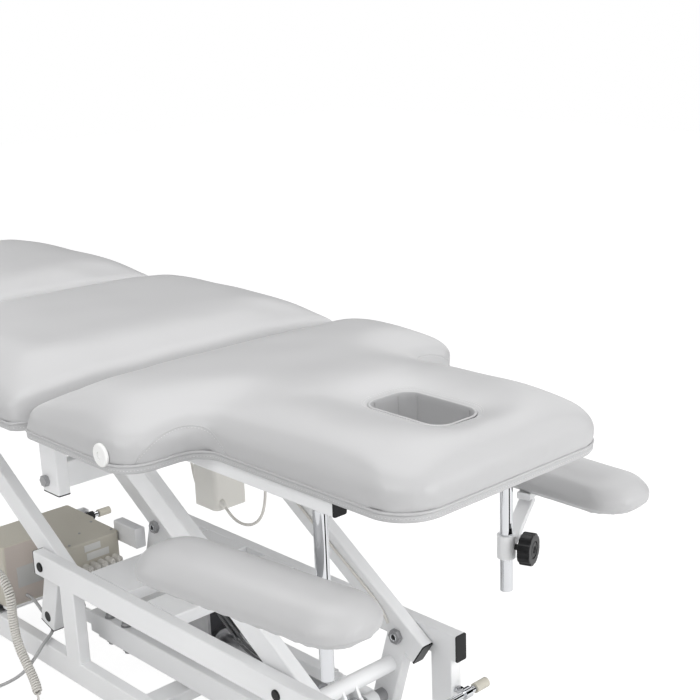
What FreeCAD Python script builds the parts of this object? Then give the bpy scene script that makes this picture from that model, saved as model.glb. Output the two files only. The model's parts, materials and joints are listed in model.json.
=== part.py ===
import FreeCAD, Part
import math
import os
from FreeCAD import Vector

# Height-adjustable treatment table: tube base, four bell-crank arms, level upper frame, three padded
# sections, two armrests on posts, three drives and a control box.
# Millimetres. X runs from the foot end to the head end, Y across, Z up. The origin lies on the floor
# under the middle of the table's length.

# tube stock
TUBE_H = 50.0              # tall side of the main tube
TUBE_W = 25.0              # narrow side of the main tube
TUBE_WALL = 2.0
TUBE_R = 3.0               # outer corner radius of a tube
CAP_T = 2.5                # thickness of a tube end cap's flange
CAP_PLUG = 7.0             # how far a cap's plug reaches into the tube
FIT = 0.3                  # plain gap between pieces that move past each other
RUN = 0.05                 # radial clearance of a running fit

# base
BASE_HALF_W = 163.0        # outer face of a side frame
FOOT_H = 30.0              # underside of the floor rails above the floor
FOOT_R = 21.0
STEM_R = 5.0
RAIL_X0 = -475.0
RAIL_X1 = 800.0
FOOT_INSET = 45.0          # foot axis from a rail's end
BEAM_X0 = -138.0
BEAM_X1 = 735.0
BEAM_TOP = 282.0
POST_INSET_FOOT = 89.0     # post from the beam's foot end
POST_INSET_HEAD = 10.0     # post from the beam's head end
FLOOR_BAR_X = (-430.0, 190.0, 755.0)
SHELF_X0 = 35.0
SHELF_X1 = 163.0
SHELF_T = 3.0
ANCHOR_X = 265.0           # middle of the crossbar that carries the lift drive
ANCHOR_W = 90.0

# bell cranks
PIVOT_REAR_X = -116.0
PIVOT_FRONT_X = 618.5
PIVOT_Z = 254.0
ARM_GAP = 1.0              # arm face from the beam's inner face
ARM_ANGLE = 33.2           # arm above level, towards the foot end
ARM_REACH = 620.0          # lower to upper pivot
ARM_OFFSET = 9.7           # arm axis above the pivots
ARM_TAIL = 53.0            # arm past the lower pivot
ARM_HEAD = 22.0            # arm past the upper pivot
LEVER_ANGLE = 17.0         # lever from plumb, towards the foot end
LEVER_REACH = 138.0        # lower pivot to link pin
LEVER_TAIL = 20.0          # lever past the link pin
BOLT_R = 8.0               # pivot bolt
NUT_AF = 24.0              # across flats of the pivot nuts
NUT_T = 9.0
PLUG_R = 10.0              # black cover plug on a pivot
PLUG_T = 3.0
SPREADER_R = 15.0          # round tube that joins the front arms and carries the lift drive's ears
SPREADER_WALL = 3.0
DRIVE_AT = 64.0            # spreader from the lower pivot, along the lever
SLOT_DROP = 94.0           # lift pin below the lower pivot
SLOT_L = 7.5               # travel of the pin in its slot
SLOT_PLAY = 1.0

# synchronising links
LINK_IN = 65.0             # inner face from the middle plane
LINK_ENDS = (113.0, 95.0)  # link tube's rear and front end from its pin
LINK_BLOCK = (30.0, 117.0) # end block's reach out of the tube and into it, at the rear
LINK_PLUG = 12.0           # the same both ways at the front
LUG_T = 8.0
LUG_H = 30.0
CLAMP_X = (143.0, 200.0)   # clamp bolts from the rear pin
CLAMP_R = 5.0
CLAMP_HEAD_R = 9.0
CLAMP_HEAD_T = 6.0
WASHER_T = 1.5

# upper frame
UPPER_OUT = 215.0          # outer face of the upper rails
HANGER_DROP = 47.51        # upper rails' underside above the arms' upper pivots
REAR_PAST = 65.2           # rails past the rear upper pivots
UPPER_H = 25.0
HEAD_HINGE_X = 242.0
LEG_HINGE_X = -384.0
HINGE_R = 6.0
DROP_X0 = 29.0             # drop frame's foot side face
DROP_W = 55.0
DROP_H = 167.0             # drop posts below the rails' underside
DROP_BAR_H = 156.0         # underside of the drop frame's crossbar, below the rails' underside
REAR_BAR_H = 27.0          # the same of the rear crossbar
HANGER_T = 6.0             # plates that hang from the upper frame to the arms
HANGER_W = 60.0

# padded sections
TABLE_HALF_L = 991.0
WIDE_HALF = 361.0
NARROW_HALF = 222.0
SHOULDER_X = 547.0
SHOULDER_R_OUT = 52.0
SHOULDER_R_IN = 45.0
HEAD_R = 68.0
JOINT_R = 25.0
SECTION_GAP = 8.0          # foot of a joint face from its hinge
JOINT_LEAN = 16.5          # top of a joint face leans back by this, so that sections can fold up
BOARD_T = 12.0
BOARD_INSET = 3.0
FOAM_T = 63.0
FOAM_EDGE_R = 22.0
HOLE_X = 804.0             # breathing hole
HOLE_L = 160.0
HOLE_W = 98.0
HOLE_R = 30.0
DISC_R = 18.5
DISC_T = 5.0
DISC_X = 490.0
DISC_UP = 14.0             # above the board
RAIL_PAST_POST = 41.5      # head section's rails past the armrest posts
LEG_RAIL_OUT = 184.0       # leg section's rails run inside the upper rails
LEG_RAIL_X0 = -955.0

# drives
ROD_R = 10.0
SLEEVE_R = 16.0
EYE_R = 14.0
EYE_W = 20.0
PIN_R = 5.0
DRIVE_GAP = 2.0            # side gap between an eye and its ears
EAR_T = 6.0
MOTOR_L = 67.0
MOTOR_W = 70.0
MOTOR_R = 9.0
HEAD_A_DROP = 129.0        # rod pin on the drop frame, below the rails' underside
HEAD_A_OUT = 20.0          # the same, from the drop posts' face
HEAD_B_DROP = 81.0         # motor pin on the head section
HEAD_B_X = 346.0
OPEN_R = 11.5              # bore of the ears that take up the rod's small sway
LIFT_X0 = 160.0            # rear end of the lift drive's housing
LIFT_L = 85.0
LIFT_SLEEVE = 295.0
LEG_A_X = -180.0           # gas spring's pin on the upper frame
LEG_A_DROP = 66.0
LEG_B_X = -444.0           # gas spring's pin on the leg section
LEG_B_DROP = 67.5

# armrests
POST_R = 11.0
POST_X = 795.5
POST_DROP = 273.0          # post's lower end below the rails' underside
POST_FLOOR = 6.0
COLLAR_R = 16.0
COLLAR_H = 41.0
COLLAR_DROP = 192.0        # middle of the collar
PAD_TURN = (7.0, 0.0)      # near and far pad at rest, turned from the table's length
PAD_L = 425.0
PAD_W = 132.0
PAD_T = 42.0
PAD_DROP = 121.0           # underside of the pad's board
PAD_OUT = (100.0, 127.0)   # near and far pad's middle from its post, outwards
PAD_BACK = 33.0            # pad's middle from the post, towards the foot end
PAD_BOARD_T = 10.0
ARM_BAR_W = 25.0
ARM_BAR_T = 12.0
ARM_BAR_R = 1.5
BRACE_FOOT = 4.0           # how far the sloped bar sinks into the collar
BRACE_SHARE = 0.55         # of the reach from post to pad, taken up by the sloped bar
FLAT_SHARE = 0.75          # the same, by the flat bar under the pad
PAD_EDGE = 8.0             # board's edge inside the pad's
KNOB_R = 28.0
KNOB_T = 22.0
KNOB_OUT = 28.0            # knob's near face from the post axis
KNOB_TURN = (180.0, 20.0)  # near and far knob's direction from the head end, outwards
SCREW_R = 5.0

# control cabinet and the unit on its head side
BOX_X0 = -420.0
BOX_X1 = -308.0
BOX_Y0 = -145.0
BOX_Y1 = 80.0
BOX_Z0 = 92.0
BOX_Z1 = 232.0
BOX_R = 6.0
UNIT_X1 = -200.0
UNIT_Y0 = -50.0
UNIT_Y1 = 75.0
UNIT_Z0 = 166.0
UNIT_R = 14.0
LID_R = 2.5
SOCKET_R = 8.0
SOCKET_L = 20.0
SOCKET_N = 5
SOCKET_PITCH = 18.0
SOCKET_Y0 = -16.0
STUB_L = 78.0              # tube stub on the unit's far side
STUB_H = 45.0
STUB_LAP = 22.0            # how far it lies along the unit
ROD_HOLD_R = 6.0           # plain rods across both ends of the base
ROD_KNOB_L = 30.0
ROD_KNOB_R = 9.0
CLIP_T = 4.0
CLIP_W = 16.0
TAB_T = 5.0
ROD_POST_UP = 6.0          # foot-end posts above their rod
ROD_X = (-448.0, 748.0)
ROD_FACE = (-470.0, 725.0) # face that each rod's clips are screwed to
ROD_Z = 174.0
ROD_REACH = 172.0
KNOB_LOBES = 8
LOBE_R = 9.0               # hollows between the lobes
LOBE_OUT = 6.0             # their middles outside the rim
KNOB_DISH_R = 15.0
KNOB_DISH = 4.0
KNOB_EDGE_R = 2.5
LEVER_PLUG_R = 11.0
HINGE_BACK = 20.0          # rails end this far from a section joint
HINGE_Y = 148.0
HEAD_BAR_X = 700.0
MOTOR_TALL = 76.0
MOTOR_HALF = 33.0
HEAD_MOTOR_AT = 34.0       # housing from the motor's pin, level
HEAD_MOTOR_TALL = 88.0
HEAD_MOTOR_TOP = 22.0      # housing's top below the motor's pin
HEAD_SLEEVE = 172.0
HEAD_ROD = 164.0
LEG_SLEEVE = 200.0
LEG_ROD = 200.0
LIFT_ROD = 250.0
HANDSET_TURN = 180.0
BUTTON_R = 7.0
BUTTON_T = 5.5
BUTTON_Z = 22.5            # underside of a button's cap
BUTTON_TRAVEL = 1.5
COIL = (-640.0, -430.0)
COIL_R = 104.0
MAINS_R = 3.5
HAND_CORD_R = 5.5
HANDSET = (120.0, -318.0)
HAND_CORD = ((-330, -145.2, 196), (-329, -180, 196), (-306, -206, 206), (-250, -213, 230), (-192, -211, 234),
             (-156, -212, 204), (-155, -214, 148), (-144, -216, 98), (-106, -219, 64), (-72, -222, 34),
             (-40, -236, 11), (-24, -266, 6.5), (-14, -300, 8), (8, -317, 12), (39.6, -318, 13))
MAINS = ((-307.8, -100, 108), (-280, -100, 108), (-236, -106, 96), (-192, -114, 86.5), (-160, -126, 87),
         (-134, -148, 91.5), (-117, -177, 86), (-117, -199, 61), (-136, -214, 32), (-163, -230, 9),
         (-172, -266, 3.7), (-192, -322, 3.6), (-252, -362, 3.6), (-360, -392, 3.6), (-450, -396, 3.7),
         (-540, -410, 4))
MAINS_TAIL = ((-640, -532, 4), (-638, -552, 8), (-640, -570, 19))

os.makedirs("parts", exist_ok=True)
BEAM_IN = BASE_HALF_W - TUBE_W
ARM_OUT = BEAM_IN - ARM_GAP
ARM_IN = ARM_OUT - TUBE_W
RAIL_TOP = FOOT_H + TUBE_H
BEAM_Z = BEAM_TOP - TUBE_H
UPPER_Z = PIVOT_Z + ARM_REACH * math.sin(math.radians(ARM_ANGLE)) + HANGER_DROP
UPPER_X0 = PIVOT_REAR_X - ARM_REACH * math.cos(math.radians(ARM_ANGLE)) - REAR_PAST
UPPER_TOP = UPPER_Z + UPPER_H
DROP_Z = UPPER_Z - DROP_H
DROP_BAR_Z = UPPER_Z - DROP_BAR_H
REAR_BAR_Z = UPPER_Z - REAR_BAR_H
HEAD_A = (DROP_X0 + DROP_W + HEAD_A_OUT, UPPER_Z - HEAD_A_DROP)
HEAD_B = (HEAD_B_X, UPPER_Z - HEAD_B_DROP)
LEG_A = (LEG_A_X, UPPER_Z - LEG_A_DROP)
LEG_B = (LEG_B_X, UPPER_Z - LEG_B_DROP)
POST_Z0 = UPPER_Z - POST_DROP
COLLAR_Z = UPPER_Z - COLLAR_DROP
PAD_Z = UPPER_Z - PAD_DROP
HEAD_RAIL_X1 = POST_X + RAIL_PAST_POST
HINGE_Z = UPPER_TOP - UPPER_H / 2
BOARD_TOP = UPPER_TOP + BOARD_T
FOAM_TOP = BOARD_TOP + FOAM_T
DISC_Z = BOARD_TOP + DISC_UP
SIDES = (-1, 1)


def solid_box(x0, x1, y0, y1, z0, z1):
    return Part.makeBox(x1 - x0, y1 - y0, z1 - z0, Vector(x0, y0, z0))


def cyl(x, y, z, axis, r, length):
    return Part.makeCylinder(r, length, Vector(x, y, z), axis)


def cyl_y(x, z, y0, y1, r):
    return cyl(x, min(y0, y1), z, Vector(0, 1, 0), r, abs(y1 - y0))


def fuse(shapes):
    first = shapes[0]
    whole = first.multiFuse(shapes[1:]) if len(shapes) > 1 else first
    return whole.removeSplitter()


def group(shapes):
    return Part.makeCompound(shapes)


def write(name, shape):
    shape.exportStep("parts/" + name + ".step")
    print(name, len(shape.Solids), round(shape.Volume / 1000), "cm3")


def rounded_face(w, h, r):
    # rectangle w x h with corner radius r, in the YZ plane, centred on the X axis
    a, b = w / 2, h / 2
    k = r * math.sin(math.radians(45))
    c = r - k
    pts = [
        ((-a + r, -b), (a - r, -b)), ((a - c, -b + c), (a, -b + r)),
        ((a, -b + r), (a, b - r)), ((a - c, b - c), (a - r, b)),
        ((a - r, b), (-a + r, b)), ((-a + c, b - c), (-a, b - r)),
        ((-a, b - r), (-a, -b + r)), ((-a + c, -b + c), (-a + r, -b)),
    ]
    edges = []
    here = None
    for i, (p, q) in enumerate(pts):
        if i % 2 == 0:
            edges.append(Part.makeLine(Vector(0, *p), Vector(0, *q)))
        else:
            edges.append(Part.Arc(Vector(0, *here), Vector(0, *p), Vector(0, *q)).toShape())
        here = q
    return Part.Face(Part.Wire(edges))


def bar(length, w=TUBE_W, h=TUBE_H, wall=TUBE_WALL, r=TUBE_R):
    # hollow tube along +X from the origin, w across Y and h along Z; wall 0 makes it solid
    outer = rounded_face(w, h, r).extrude(Vector(length, 0, 0))
    if wall == 0:
        return outer
    inner = rounded_face(w - 2 * wall, h - 2 * wall, max(r - wall, 0.6)).extrude(Vector(length, 0, 0))
    return outer.cut(inner)


def turned(shape, angle, x, z, y=0.0):
    # turns a shape about Y so that +X rises by angle, then moves it
    s = shape.copy()
    s.rotate(Vector(0, 0, 0), Vector(0, 1, 0), -angle)
    s.translate(Vector(x, y, z))
    return s


def along_x(x0, x1, y, z, w=TUBE_W, h=TUBE_H, wall=TUBE_WALL):
    return turned(bar(x1 - x0, w, h, wall), 0, x0, z, y)


def along_y(y0, y1, x, z, w=TUBE_W, h=TUBE_H, wall=TUBE_WALL):
    s = bar(y1 - y0, w, h, wall)
    s.rotate(Vector(0, 0, 0), Vector(0, 0, 1), 90)
    s.translate(Vector(x, y0, z))
    return s


def upright(x, y, z0, z1, w=TUBE_W, h=TUBE_H, wall=TUBE_WALL):
    # h lies along X
    return turned(bar(z1 - z0, w, h, wall), 90, x, z0, y)


def end_cap(w=TUBE_W, h=TUBE_H):
    # flange on the -X side of the origin, plug into the tube along +X
    flange = turned(bar(CAP_T, w, h, 0), 0, -CAP_T, 0)
    plug = bar(CAP_PLUG, w - 2 * TUBE_WALL - FIT, h - 2 * TUBE_WALL - FIT, 0, 1.0)
    return flange.fuse(plug)


def nut(x, z, y0, y1, af=NUT_AF):
    # hexagon along Y
    pts = []
    for i in range(7):
        a = math.radians(60 * i)
        rr = af / 2 / math.cos(math.radians(30))
        pts.append(Vector(x + rr * math.cos(a), min(y0, y1), z + rr * math.sin(a)))
    return Part.Face(Part.makePolygon(pts)).extrude(Vector(0, abs(y1 - y0), 0))


def dome_plug(x, z, y, side, r=PLUG_R, t=PLUG_T):
    # round plug with a rounded rim on an outer face at y
    disc = cyl_y(x, z, y, y + side * t, r)
    rim = [e for e in disc.Edges if abs(e.BoundBox.YMin - (y + side * t)) < 0.01 and e.BoundBox.YLength < 0.01]
    return disc.makeFillet(t * 0.6, rim)


def plan_face(points, z):
    # points are (x, y, r): corners of a closed outline, each rounded by r
    n = len(points)
    edges = []
    ends = []
    for i in range(n):
        px, py, r = points[i]
        ax, ay, _ = points[i - 1]
        bx, by, _ = points[(i + 1) % n]
        p = Vector(px, py, z)
        u = (Vector(ax, ay, z) - p).normalize()
        v = (Vector(bx, by, z) - p).normalize()
        half = u.getAngle(v) / 2
        cut = r / math.tan(half)
        s, e = p + u * cut, p + v * cut
        mid = p + (u + v).normalize() * (r / math.sin(half) - r)
        ends.append((s, mid, e))
    for i in range(n):
        s, mid, e = ends[i]
        if (s - e).Length > 0.01:
            edges.append(Part.Arc(s, mid, e).toShape())
        nxt = ends[(i + 1) % n][0]
        if (nxt - e).Length > 0.01:
            edges.append(Part.makeLine(e, nxt))
    return Part.Face(Part.Wire(edges))


def slab(points, z0, z1):
    return plan_face(points, z0).extrude(Vector(0, 0, z1 - z0))


def soften(shape, z, r):
    edges = [e for e in shape.Edges if abs(e.BoundBox.ZMin - z) < 0.01 and abs(e.BoundBox.ZMax - z) < 0.01]
    return shape.makeFillet(r, edges)


def cord_tube(points, r):
    # straight runs joined by tangent arcs, each as large as its two runs allow
    pts = [Vector(*p) for p in points]
    edges = []
    here = pts[0]
    radii = []
    for i in range(1, len(pts) - 1):
        p = pts[i]
        u = pts[i - 1] - p
        v = pts[i + 1] - p
        run = min(u.Length, v.Length)
        u.normalize()
        v.normalize()
        turn = math.pi - u.getAngle(v)
        cut = 0.45 * run
        rad = cut / math.tan(turn / 2)
        radii.append(rad)
        s, e = p + u * cut, p + v * cut
        mid = p + (u + v).normalize() * (rad / math.cos(turn / 2) - rad)
        edges.append(Part.makeLine(here, s))
        edges.append(Part.Arc(s, mid, e).toShape())
        here = e
    edges.append(Part.makeLine(here, pts[-1]))
    path = Part.Wire(edges)
    start = (pts[1] - pts[0]).normalize()
    profile = Part.Wire(Part.makeCircle(r, pts[0], start))
    tube = path.makePipeShell([profile], True, False)
    want = math.pi * r * r * path.Length
    print("cord", round(path.Length), "mm, radii", [round(a) for a in radii])
    print("volume ratio", round(tube.Volume / want, 4))
    return tube


# base


def side_frame(side):
    y = side * (BASE_HALF_W - TUBE_W / 2)
    rail_z = FOOT_H + TUBE_H / 2
    beam_z = BEAM_Z + TUBE_H / 2
    rail = along_x(RAIL_X0, RAIL_X1, y, rail_z)
    beam = along_x(BEAM_X0, BEAM_X1, y, beam_z)
    parts = [rail, beam]
    for x in (BEAM_X0 + POST_INSET_FOOT + TUBE_H / 2, BEAM_X1 - POST_INSET_HEAD - TUBE_H / 2):
        parts.append(upright(x, y, RAIL_TOP - TUBE_R, BEAM_Z + TUBE_R))
    frame = fuse(parts)
    for x in (PIVOT_REAR_X, PIVOT_FRONT_X):
        frame = frame.cut(cyl_y(x, PIVOT_Z, side * BEAM_IN - side, side * BASE_HALF_W + side, BOLT_R))
    return frame


def base_bars():
    y = BEAM_IN
    z = FOOT_H + TUBE_W / 2 + 8.0
    bars = [along_y(-y, y, x, z, TUBE_H, TUBE_W) for x in FLOOR_BAR_X]
    bars.append(along_y(-y, y, ANCHOR_X, BEAM_TOP - TUBE_W / 2, ANCHOR_W, TUBE_W))
    return group(bars)


def shelf():
    # folded tray between the beams, flush with their tops
    tray = solid_box(SHELF_X0, SHELF_X1, -BEAM_IN, BEAM_IN, BEAM_TOP - SHELF_T, BEAM_TOP)
    lips = [solid_box(x, x + SHELF_T, -BEAM_IN, BEAM_IN, BEAM_TOP - 22.0, BEAM_TOP)
            for x in (SHELF_X0, SHELF_X1 - SHELF_T)]
    return fuse([tray] + lips)


def base_caps():
    caps = []
    for side in SIDES:
        y = side * (BASE_HALF_W - TUBE_W / 2)
        for x0, x1, z in ((RAIL_X0, RAIL_X1, FOOT_H + TUBE_H / 2), (BEAM_X0, BEAM_X1, BEAM_Z + TUBE_H / 2)):
            caps.append(turned(end_cap(), 0, x0, z, y))
            caps.append(turned(end_cap(), 180, x1, z, y))
    return group(caps)


def feet():
    pads, stems = [], []
    for side in SIDES:
        y = side * (BASE_HALF_W - TUBE_W / 2)
        for x in (RAIL_X0 + FOOT_INSET, RAIL_X1 - FOOT_INSET):
            pad = Part.makeCone(FOOT_R, FOOT_R * 0.62, 14.0, Vector(x, y, 0))
            skirt = cyl(x, y, 14.0, Vector(0, 0, 1), FOOT_R * 0.4, 6.0)
            pads.append(pad.fuse(skirt))
            stem = cyl(x, y, 20.0, Vector(0, 0, 1), STEM_R, FOOT_H - 20.0)
            stems.append(stem)
    return group(pads), group(stems)


def pivot_bolts():
    # head under the plug, shank through beam and arm, nut on the arm's inner face
    bolts = []
    for side in SIDES:
        for x in (PIVOT_REAR_X, PIVOT_FRONT_X):
            shank = cyl_y(x, PIVOT_Z, side * BASE_HALF_W, side * (ARM_IN - FIT), BOLT_R)
            end = nut(x, PIVOT_Z, side * (ARM_IN - FIT), side * (ARM_IN - FIT - NUT_T))
            bolts.append(shank.fuse(end))
    return group(bolts)


def pivot_plugs():
    return group([dome_plug(x, PIVOT_Z, side * BASE_HALF_W, side)
                  for side in SIDES for x in (PIVOT_REAR_X, PIVOT_FRONT_X)])


# bell cranks


def lever_pin(x):
    a = math.radians(LEVER_ANGLE)
    return x - LEVER_REACH * math.sin(a), PIVOT_Z - LEVER_REACH * math.cos(a)


def arm_top(x):
    a = math.radians(ARM_ANGLE)
    return x - ARM_REACH * math.cos(a), PIVOT_Z + ARM_REACH * math.sin(a)


def on_arm(x, reach, lift=0.0):
    # a point along the arm from its lower pivot, lifted square to it
    a = math.radians(ARM_ANGLE)
    return (x - reach * math.cos(a) + lift * math.sin(a),
            PIVOT_Z + reach * math.sin(a) + lift * math.cos(a))


def crank_arm(x, side):
    # long arm and short lever in one welding, with a bush at each pin
    y = side * (ARM_OUT - TUBE_W / 2)
    ex, ez = on_arm(x, -ARM_TAIL, ARM_OFFSET)
    arm = turned(bar(ARM_TAIL + ARM_REACH + ARM_HEAD), 180 - ARM_ANGLE, ex, ez, y)
    arm_void = turned(bar(ARM_TAIL + ARM_REACH + ARM_HEAD, TUBE_W - 2 * TUBE_WALL, TUBE_H - 2 * TUBE_WALL, 0, 1.0),
                      180 - ARM_ANGLE, ex, ez, y)
    down = LEVER_REACH + LEVER_TAIL
    lever = turned(bar(down), -90 - LEVER_ANGLE, x, PIVOT_Z, y).cut(arm_void)
    bushes = []
    lx, lz = lever_pin(x)
    tx, tz = arm_top(x)
    pins = ((x, PIVOT_Z, BOLT_R), (lx, lz, BOLT_R), (tx, tz, BOLT_R))
    for px, pz, r in pins:
        bushes.append(cyl_y(px, pz, side * ARM_OUT, side * ARM_IN, r + 4.0))
    crank = fuse([arm, lever] + bushes)
    for px, pz, r in pins:
        crank = crank.cut(cyl_y(px, pz, side * (ARM_OUT + 1), side * (ARM_IN - 1), r + RUN))
    return crank


def slotted_ears(tube, at, x):
    # two plates from the lower spreader; the lift pin works in their upright slots
    z0 = PIVOT_Z - SLOT_DROP
    dx, dz = x - at[0], z0 - SLOT_L / 2 - at[1]
    shapes = [tube]
    for side in SIDES:
        y0 = side * (EYE_W / 2 + DRIVE_GAP)
        y1 = y0 + side * EAR_T
        reach = math.hypot(dx, dz)
        shapes.append(turned(bar(reach, EAR_T, 2 * EYE_R, 0, 0.8), math.degrees(math.atan2(dz, dx)),
                             at[0], at[1], (y0 + y1) / 2))
        shapes += [cyl_y(x, z, y0, y1, EYE_R + 2) for z in (z0, z0 - SLOT_L)]
        shapes.append(solid_box(x - EYE_R - 2, x + EYE_R + 2, min(y0, y1), max(y0, y1), z0 - SLOT_L, z0))
    ears = fuse(shapes)
    wide = EYE_W
    r = PIN_R + SLOT_PLAY
    for z in (z0, z0 - SLOT_L):
        ears = ears.cut(cyl_y(x, z, -wide, wide, r))
    return ears.cut(solid_box(x - r, x + r, -wide, wide, z0 - SLOT_L, z0))


def drive_spreader(x):
    # round tube between the front levers, with the lift drive's ears
    a = math.radians(LEVER_ANGLE)
    at = (x - DRIVE_AT * math.sin(a), PIVOT_Z - DRIVE_AT * math.cos(a))
    tube = slotted_ears(cyl_y(at[0], at[1], -ARM_IN, ARM_IN, SPREADER_R), at, x)
    return tube.cut(cyl_y(at[0], at[1], -ARM_IN - 1, ARM_IN + 1, SPREADER_R - SPREADER_WALL))


def crank_caps(x):
    caps = []
    for side in SIDES:
        y = side * (ARM_OUT - TUBE_W / 2)
        ex, ez = on_arm(x, -ARM_TAIL, ARM_OFFSET)
        caps.append(turned(end_cap(), 180 - ARM_ANGLE, ex, ez, y))
        tx, tz = on_arm(x, ARM_REACH + ARM_HEAD, ARM_OFFSET)
        caps.append(turned(end_cap(), -ARM_ANGLE, tx, tz, y))
        a = math.radians(LEVER_ANGLE)
        down = LEVER_REACH + LEVER_TAIL
        caps.append(turned(end_cap(), 90 - LEVER_ANGLE, x - down * math.sin(a), PIVOT_Z - down * math.cos(a), y))
        lx, lz = lever_pin(x)
        caps.append(dome_plug(lx, lz, side * ARM_OUT, side, LEVER_PLUG_R, ARM_GAP * 0.6))
    return group(caps)


# synchronising links


def link(side):
    # tube between the lever pins; each end has a block with a lug that reaches its pin
    (x0, z), (x1, _) = lever_pin(PIVOT_REAR_X), lever_pin(PIVOT_FRONT_X)
    y = side * (LINK_IN + TUBE_W / 2)
    shapes = [along_x(x0 + LINK_ENDS[0], x1 - LINK_ENDS[1], y, z)]
    ends = ((x0, 1, LINK_ENDS[0], LINK_BLOCK), (x1, -1, LINK_ENDS[1], (LINK_PLUG, LINK_PLUG)))
    for x, d, reach, (out, inside) in ends:
        face = x + d * reach
        lo, hi = sorted((face - d * out, face + d * inside))
        shapes.append(along_x(lo, hi, y, z, TUBE_W - 2 * TUBE_WALL, TUBE_H - 2 * TUBE_WALL, 0))
        lo, hi = sorted((x, face - d * out / 2))
        shapes.append(along_x(lo, hi, y, z, LUG_T, LUG_H, 0))
        shapes.append(cyl_y(x, z, side * LINK_IN, side * (LINK_IN + TUBE_W), BOLT_R + 8))
    body = fuse(shapes)
    for x in (x0, x1):
        body = body.cut(cyl_y(x, z, side * (LINK_IN - 1), side * (LINK_IN + TUBE_W + 1), BOLT_R + RUN))
    for at in CLAMP_X:
        body = body.cut(cyl(x0 + at, y, z - TUBE_H, Vector(0, 0, 1), CLAMP_R + RUN, 2 * TUBE_H))
    return body


def link_clamps():
    # two upright bolts through each link tube and its rear end block
    x0, z = lever_pin(PIVOT_REAR_X)
    up = Vector(0, 0, 1)
    top, foot = z + TUBE_H / 2, z - TUBE_H / 2
    bolts = []
    for side in SIDES:
        y = side * (LINK_IN + TUBE_W / 2)
        for at in CLAMP_X:
            x = x0 + at
            shank = cyl(x, y, foot - CLAMP_HEAD_T - 2, up, CLAMP_R, TUBE_H + CLAMP_HEAD_T + 4)
            pieces = [shank, cyl(x, y, top + WASHER_T, up, CLAMP_HEAD_R, CLAMP_HEAD_T)]
            pieces += [cyl(x, y, h, up, CLAMP_HEAD_R + 2, WASHER_T) for h in (top, foot - WASHER_T)]
            pieces.append(cyl(x, y, foot - WASHER_T - CLAMP_HEAD_T, up, CLAMP_HEAD_R - 1, CLAMP_HEAD_T))
            bolts.append(fuse(pieces))
    return bolts


def link_pins(x):
    # pins fixed in the levers; each carries its link
    pins = []
    px, pz = lever_pin(x)
    for side in SIDES:
        shank = cyl_y(px, pz, side * (ARM_OUT - 0.2), side * (LINK_IN - 2), BOLT_R)
        collar = cyl_y(px, pz, side * (ARM_IN - FIT), side * (LINK_IN + TUBE_W + FIT), BOLT_R + 5)
        end = nut(px, pz, side * (LINK_IN - FIT), side * (LINK_IN - FIT - NUT_T), NUT_AF - 2)
        pins.append(fuse([shank, collar, end]))
    return group(pins)


# upper frame


def upper_frame():
    # rails, drop frame and crossbars in one welding
    zc = UPPER_Z + UPPER_H / 2
    yc = UPPER_OUT - TUBE_W / 2
    x1 = HEAD_HINGE_X - HINGE_BACK
    shapes = []
    for side in SIDES:
        shapes.append(along_x(UPPER_X0, x1, side * yc, zc, TUBE_W, UPPER_H))
        shapes.append(upright(DROP_X0 + DROP_W / 2, side * yc, DROP_Z, UPPER_Z + TUBE_R, TUBE_W, DROP_W))
        shapes.append(upright(UPPER_X0 + TUBE_W / 2, side * yc, REAR_BAR_Z, UPPER_Z + TUBE_WALL, TUBE_W, TUBE_W))
    inner = UPPER_OUT - TUBE_W
    bars = [(arm_top(PIVOT_FRONT_X)[0], zc, TUBE_H, UPPER_H), (x1 - TUBE_W / 2, zc, TUBE_W, UPPER_H),
            (LEG_A[0], zc, TUBE_W, UPPER_H), (LEG_HINGE_X + HINGE_BACK + TUBE_W / 2, zc, TUBE_W, UPPER_H),
            (UPPER_X0 + TUBE_W / 2, REAR_BAR_Z + TUBE_W / 2, TUBE_W, TUBE_W),
            (DROP_X0 + DROP_W - TUBE_W / 2, DROP_BAR_Z + TUBE_H / 2, TUBE_W, TUBE_H)]
    for x, z, w, h in bars:
        shapes.append(along_y(-inner - 1, inner + 1, x, z, w, h))
    return fuse(shapes)


def hangers(x):
    # plates that reach down from the upper frame to one pair of arms, with the pivot pins
    px, pz = arm_top(x)
    front = x == PIVOT_FRONT_X
    plates, pins = [], []
    for side in SIDES:
        for y0, y1 in ((ARM_OUT + DRIVE_GAP, ARM_OUT + DRIVE_GAP + HANGER_T),
                       (ARM_IN - DRIVE_GAP - HANGER_T, ARM_IN - DRIVE_GAP)):
            a, b = side * y0, side * y1
            eye = cyl_y(px, pz, a, b, BOLT_R + 9)
            if front:
                web = solid_box(px - HANGER_W / 2, px + HANGER_W / 2, min(a, b), max(a, b), pz + 14, UPPER_Z)
                web = web.fuse(solid_box(px - BOLT_R - 9, px + BOLT_R + 9, min(a, b), max(a, b), pz, pz + 14))
            else:
                web = solid_box(UPPER_X0 + TUBE_W, px, min(a, b), max(a, b), pz - BOLT_R - 9, pz + BOLT_R + 9)
                web = web.fuse(solid_box(UPPER_X0 + TUBE_W, UPPER_X0 + TUBE_W + 14, min(a, b), max(a, b),
                                         pz, REAR_BAR_Z + TUBE_W - 2))
            plates.append(fuse([web, eye]))
        inner, outer = ARM_IN - DRIVE_GAP - HANGER_T, ARM_OUT + DRIVE_GAP + HANGER_T
        pins.append(cyl_y(px, pz, side * inner, side * outer, BOLT_R))
        for y, d in ((inner, -1), (outer, 1)):
            pins.append(nut(px, pz, side * y, side * (y + d * NUT_T * 0.7), NUT_AF))
    plates = [p.cut(group([cyl_y(px, pz, -BASE_HALF_W, BASE_HALF_W, BOLT_R)])) for p in plates]
    near = fuse([p for p in pins if p.BoundBox.YMax < 0])
    far = fuse([p for p in pins if p.BoundBox.YMin > 0])
    return plates, [near, far]


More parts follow.
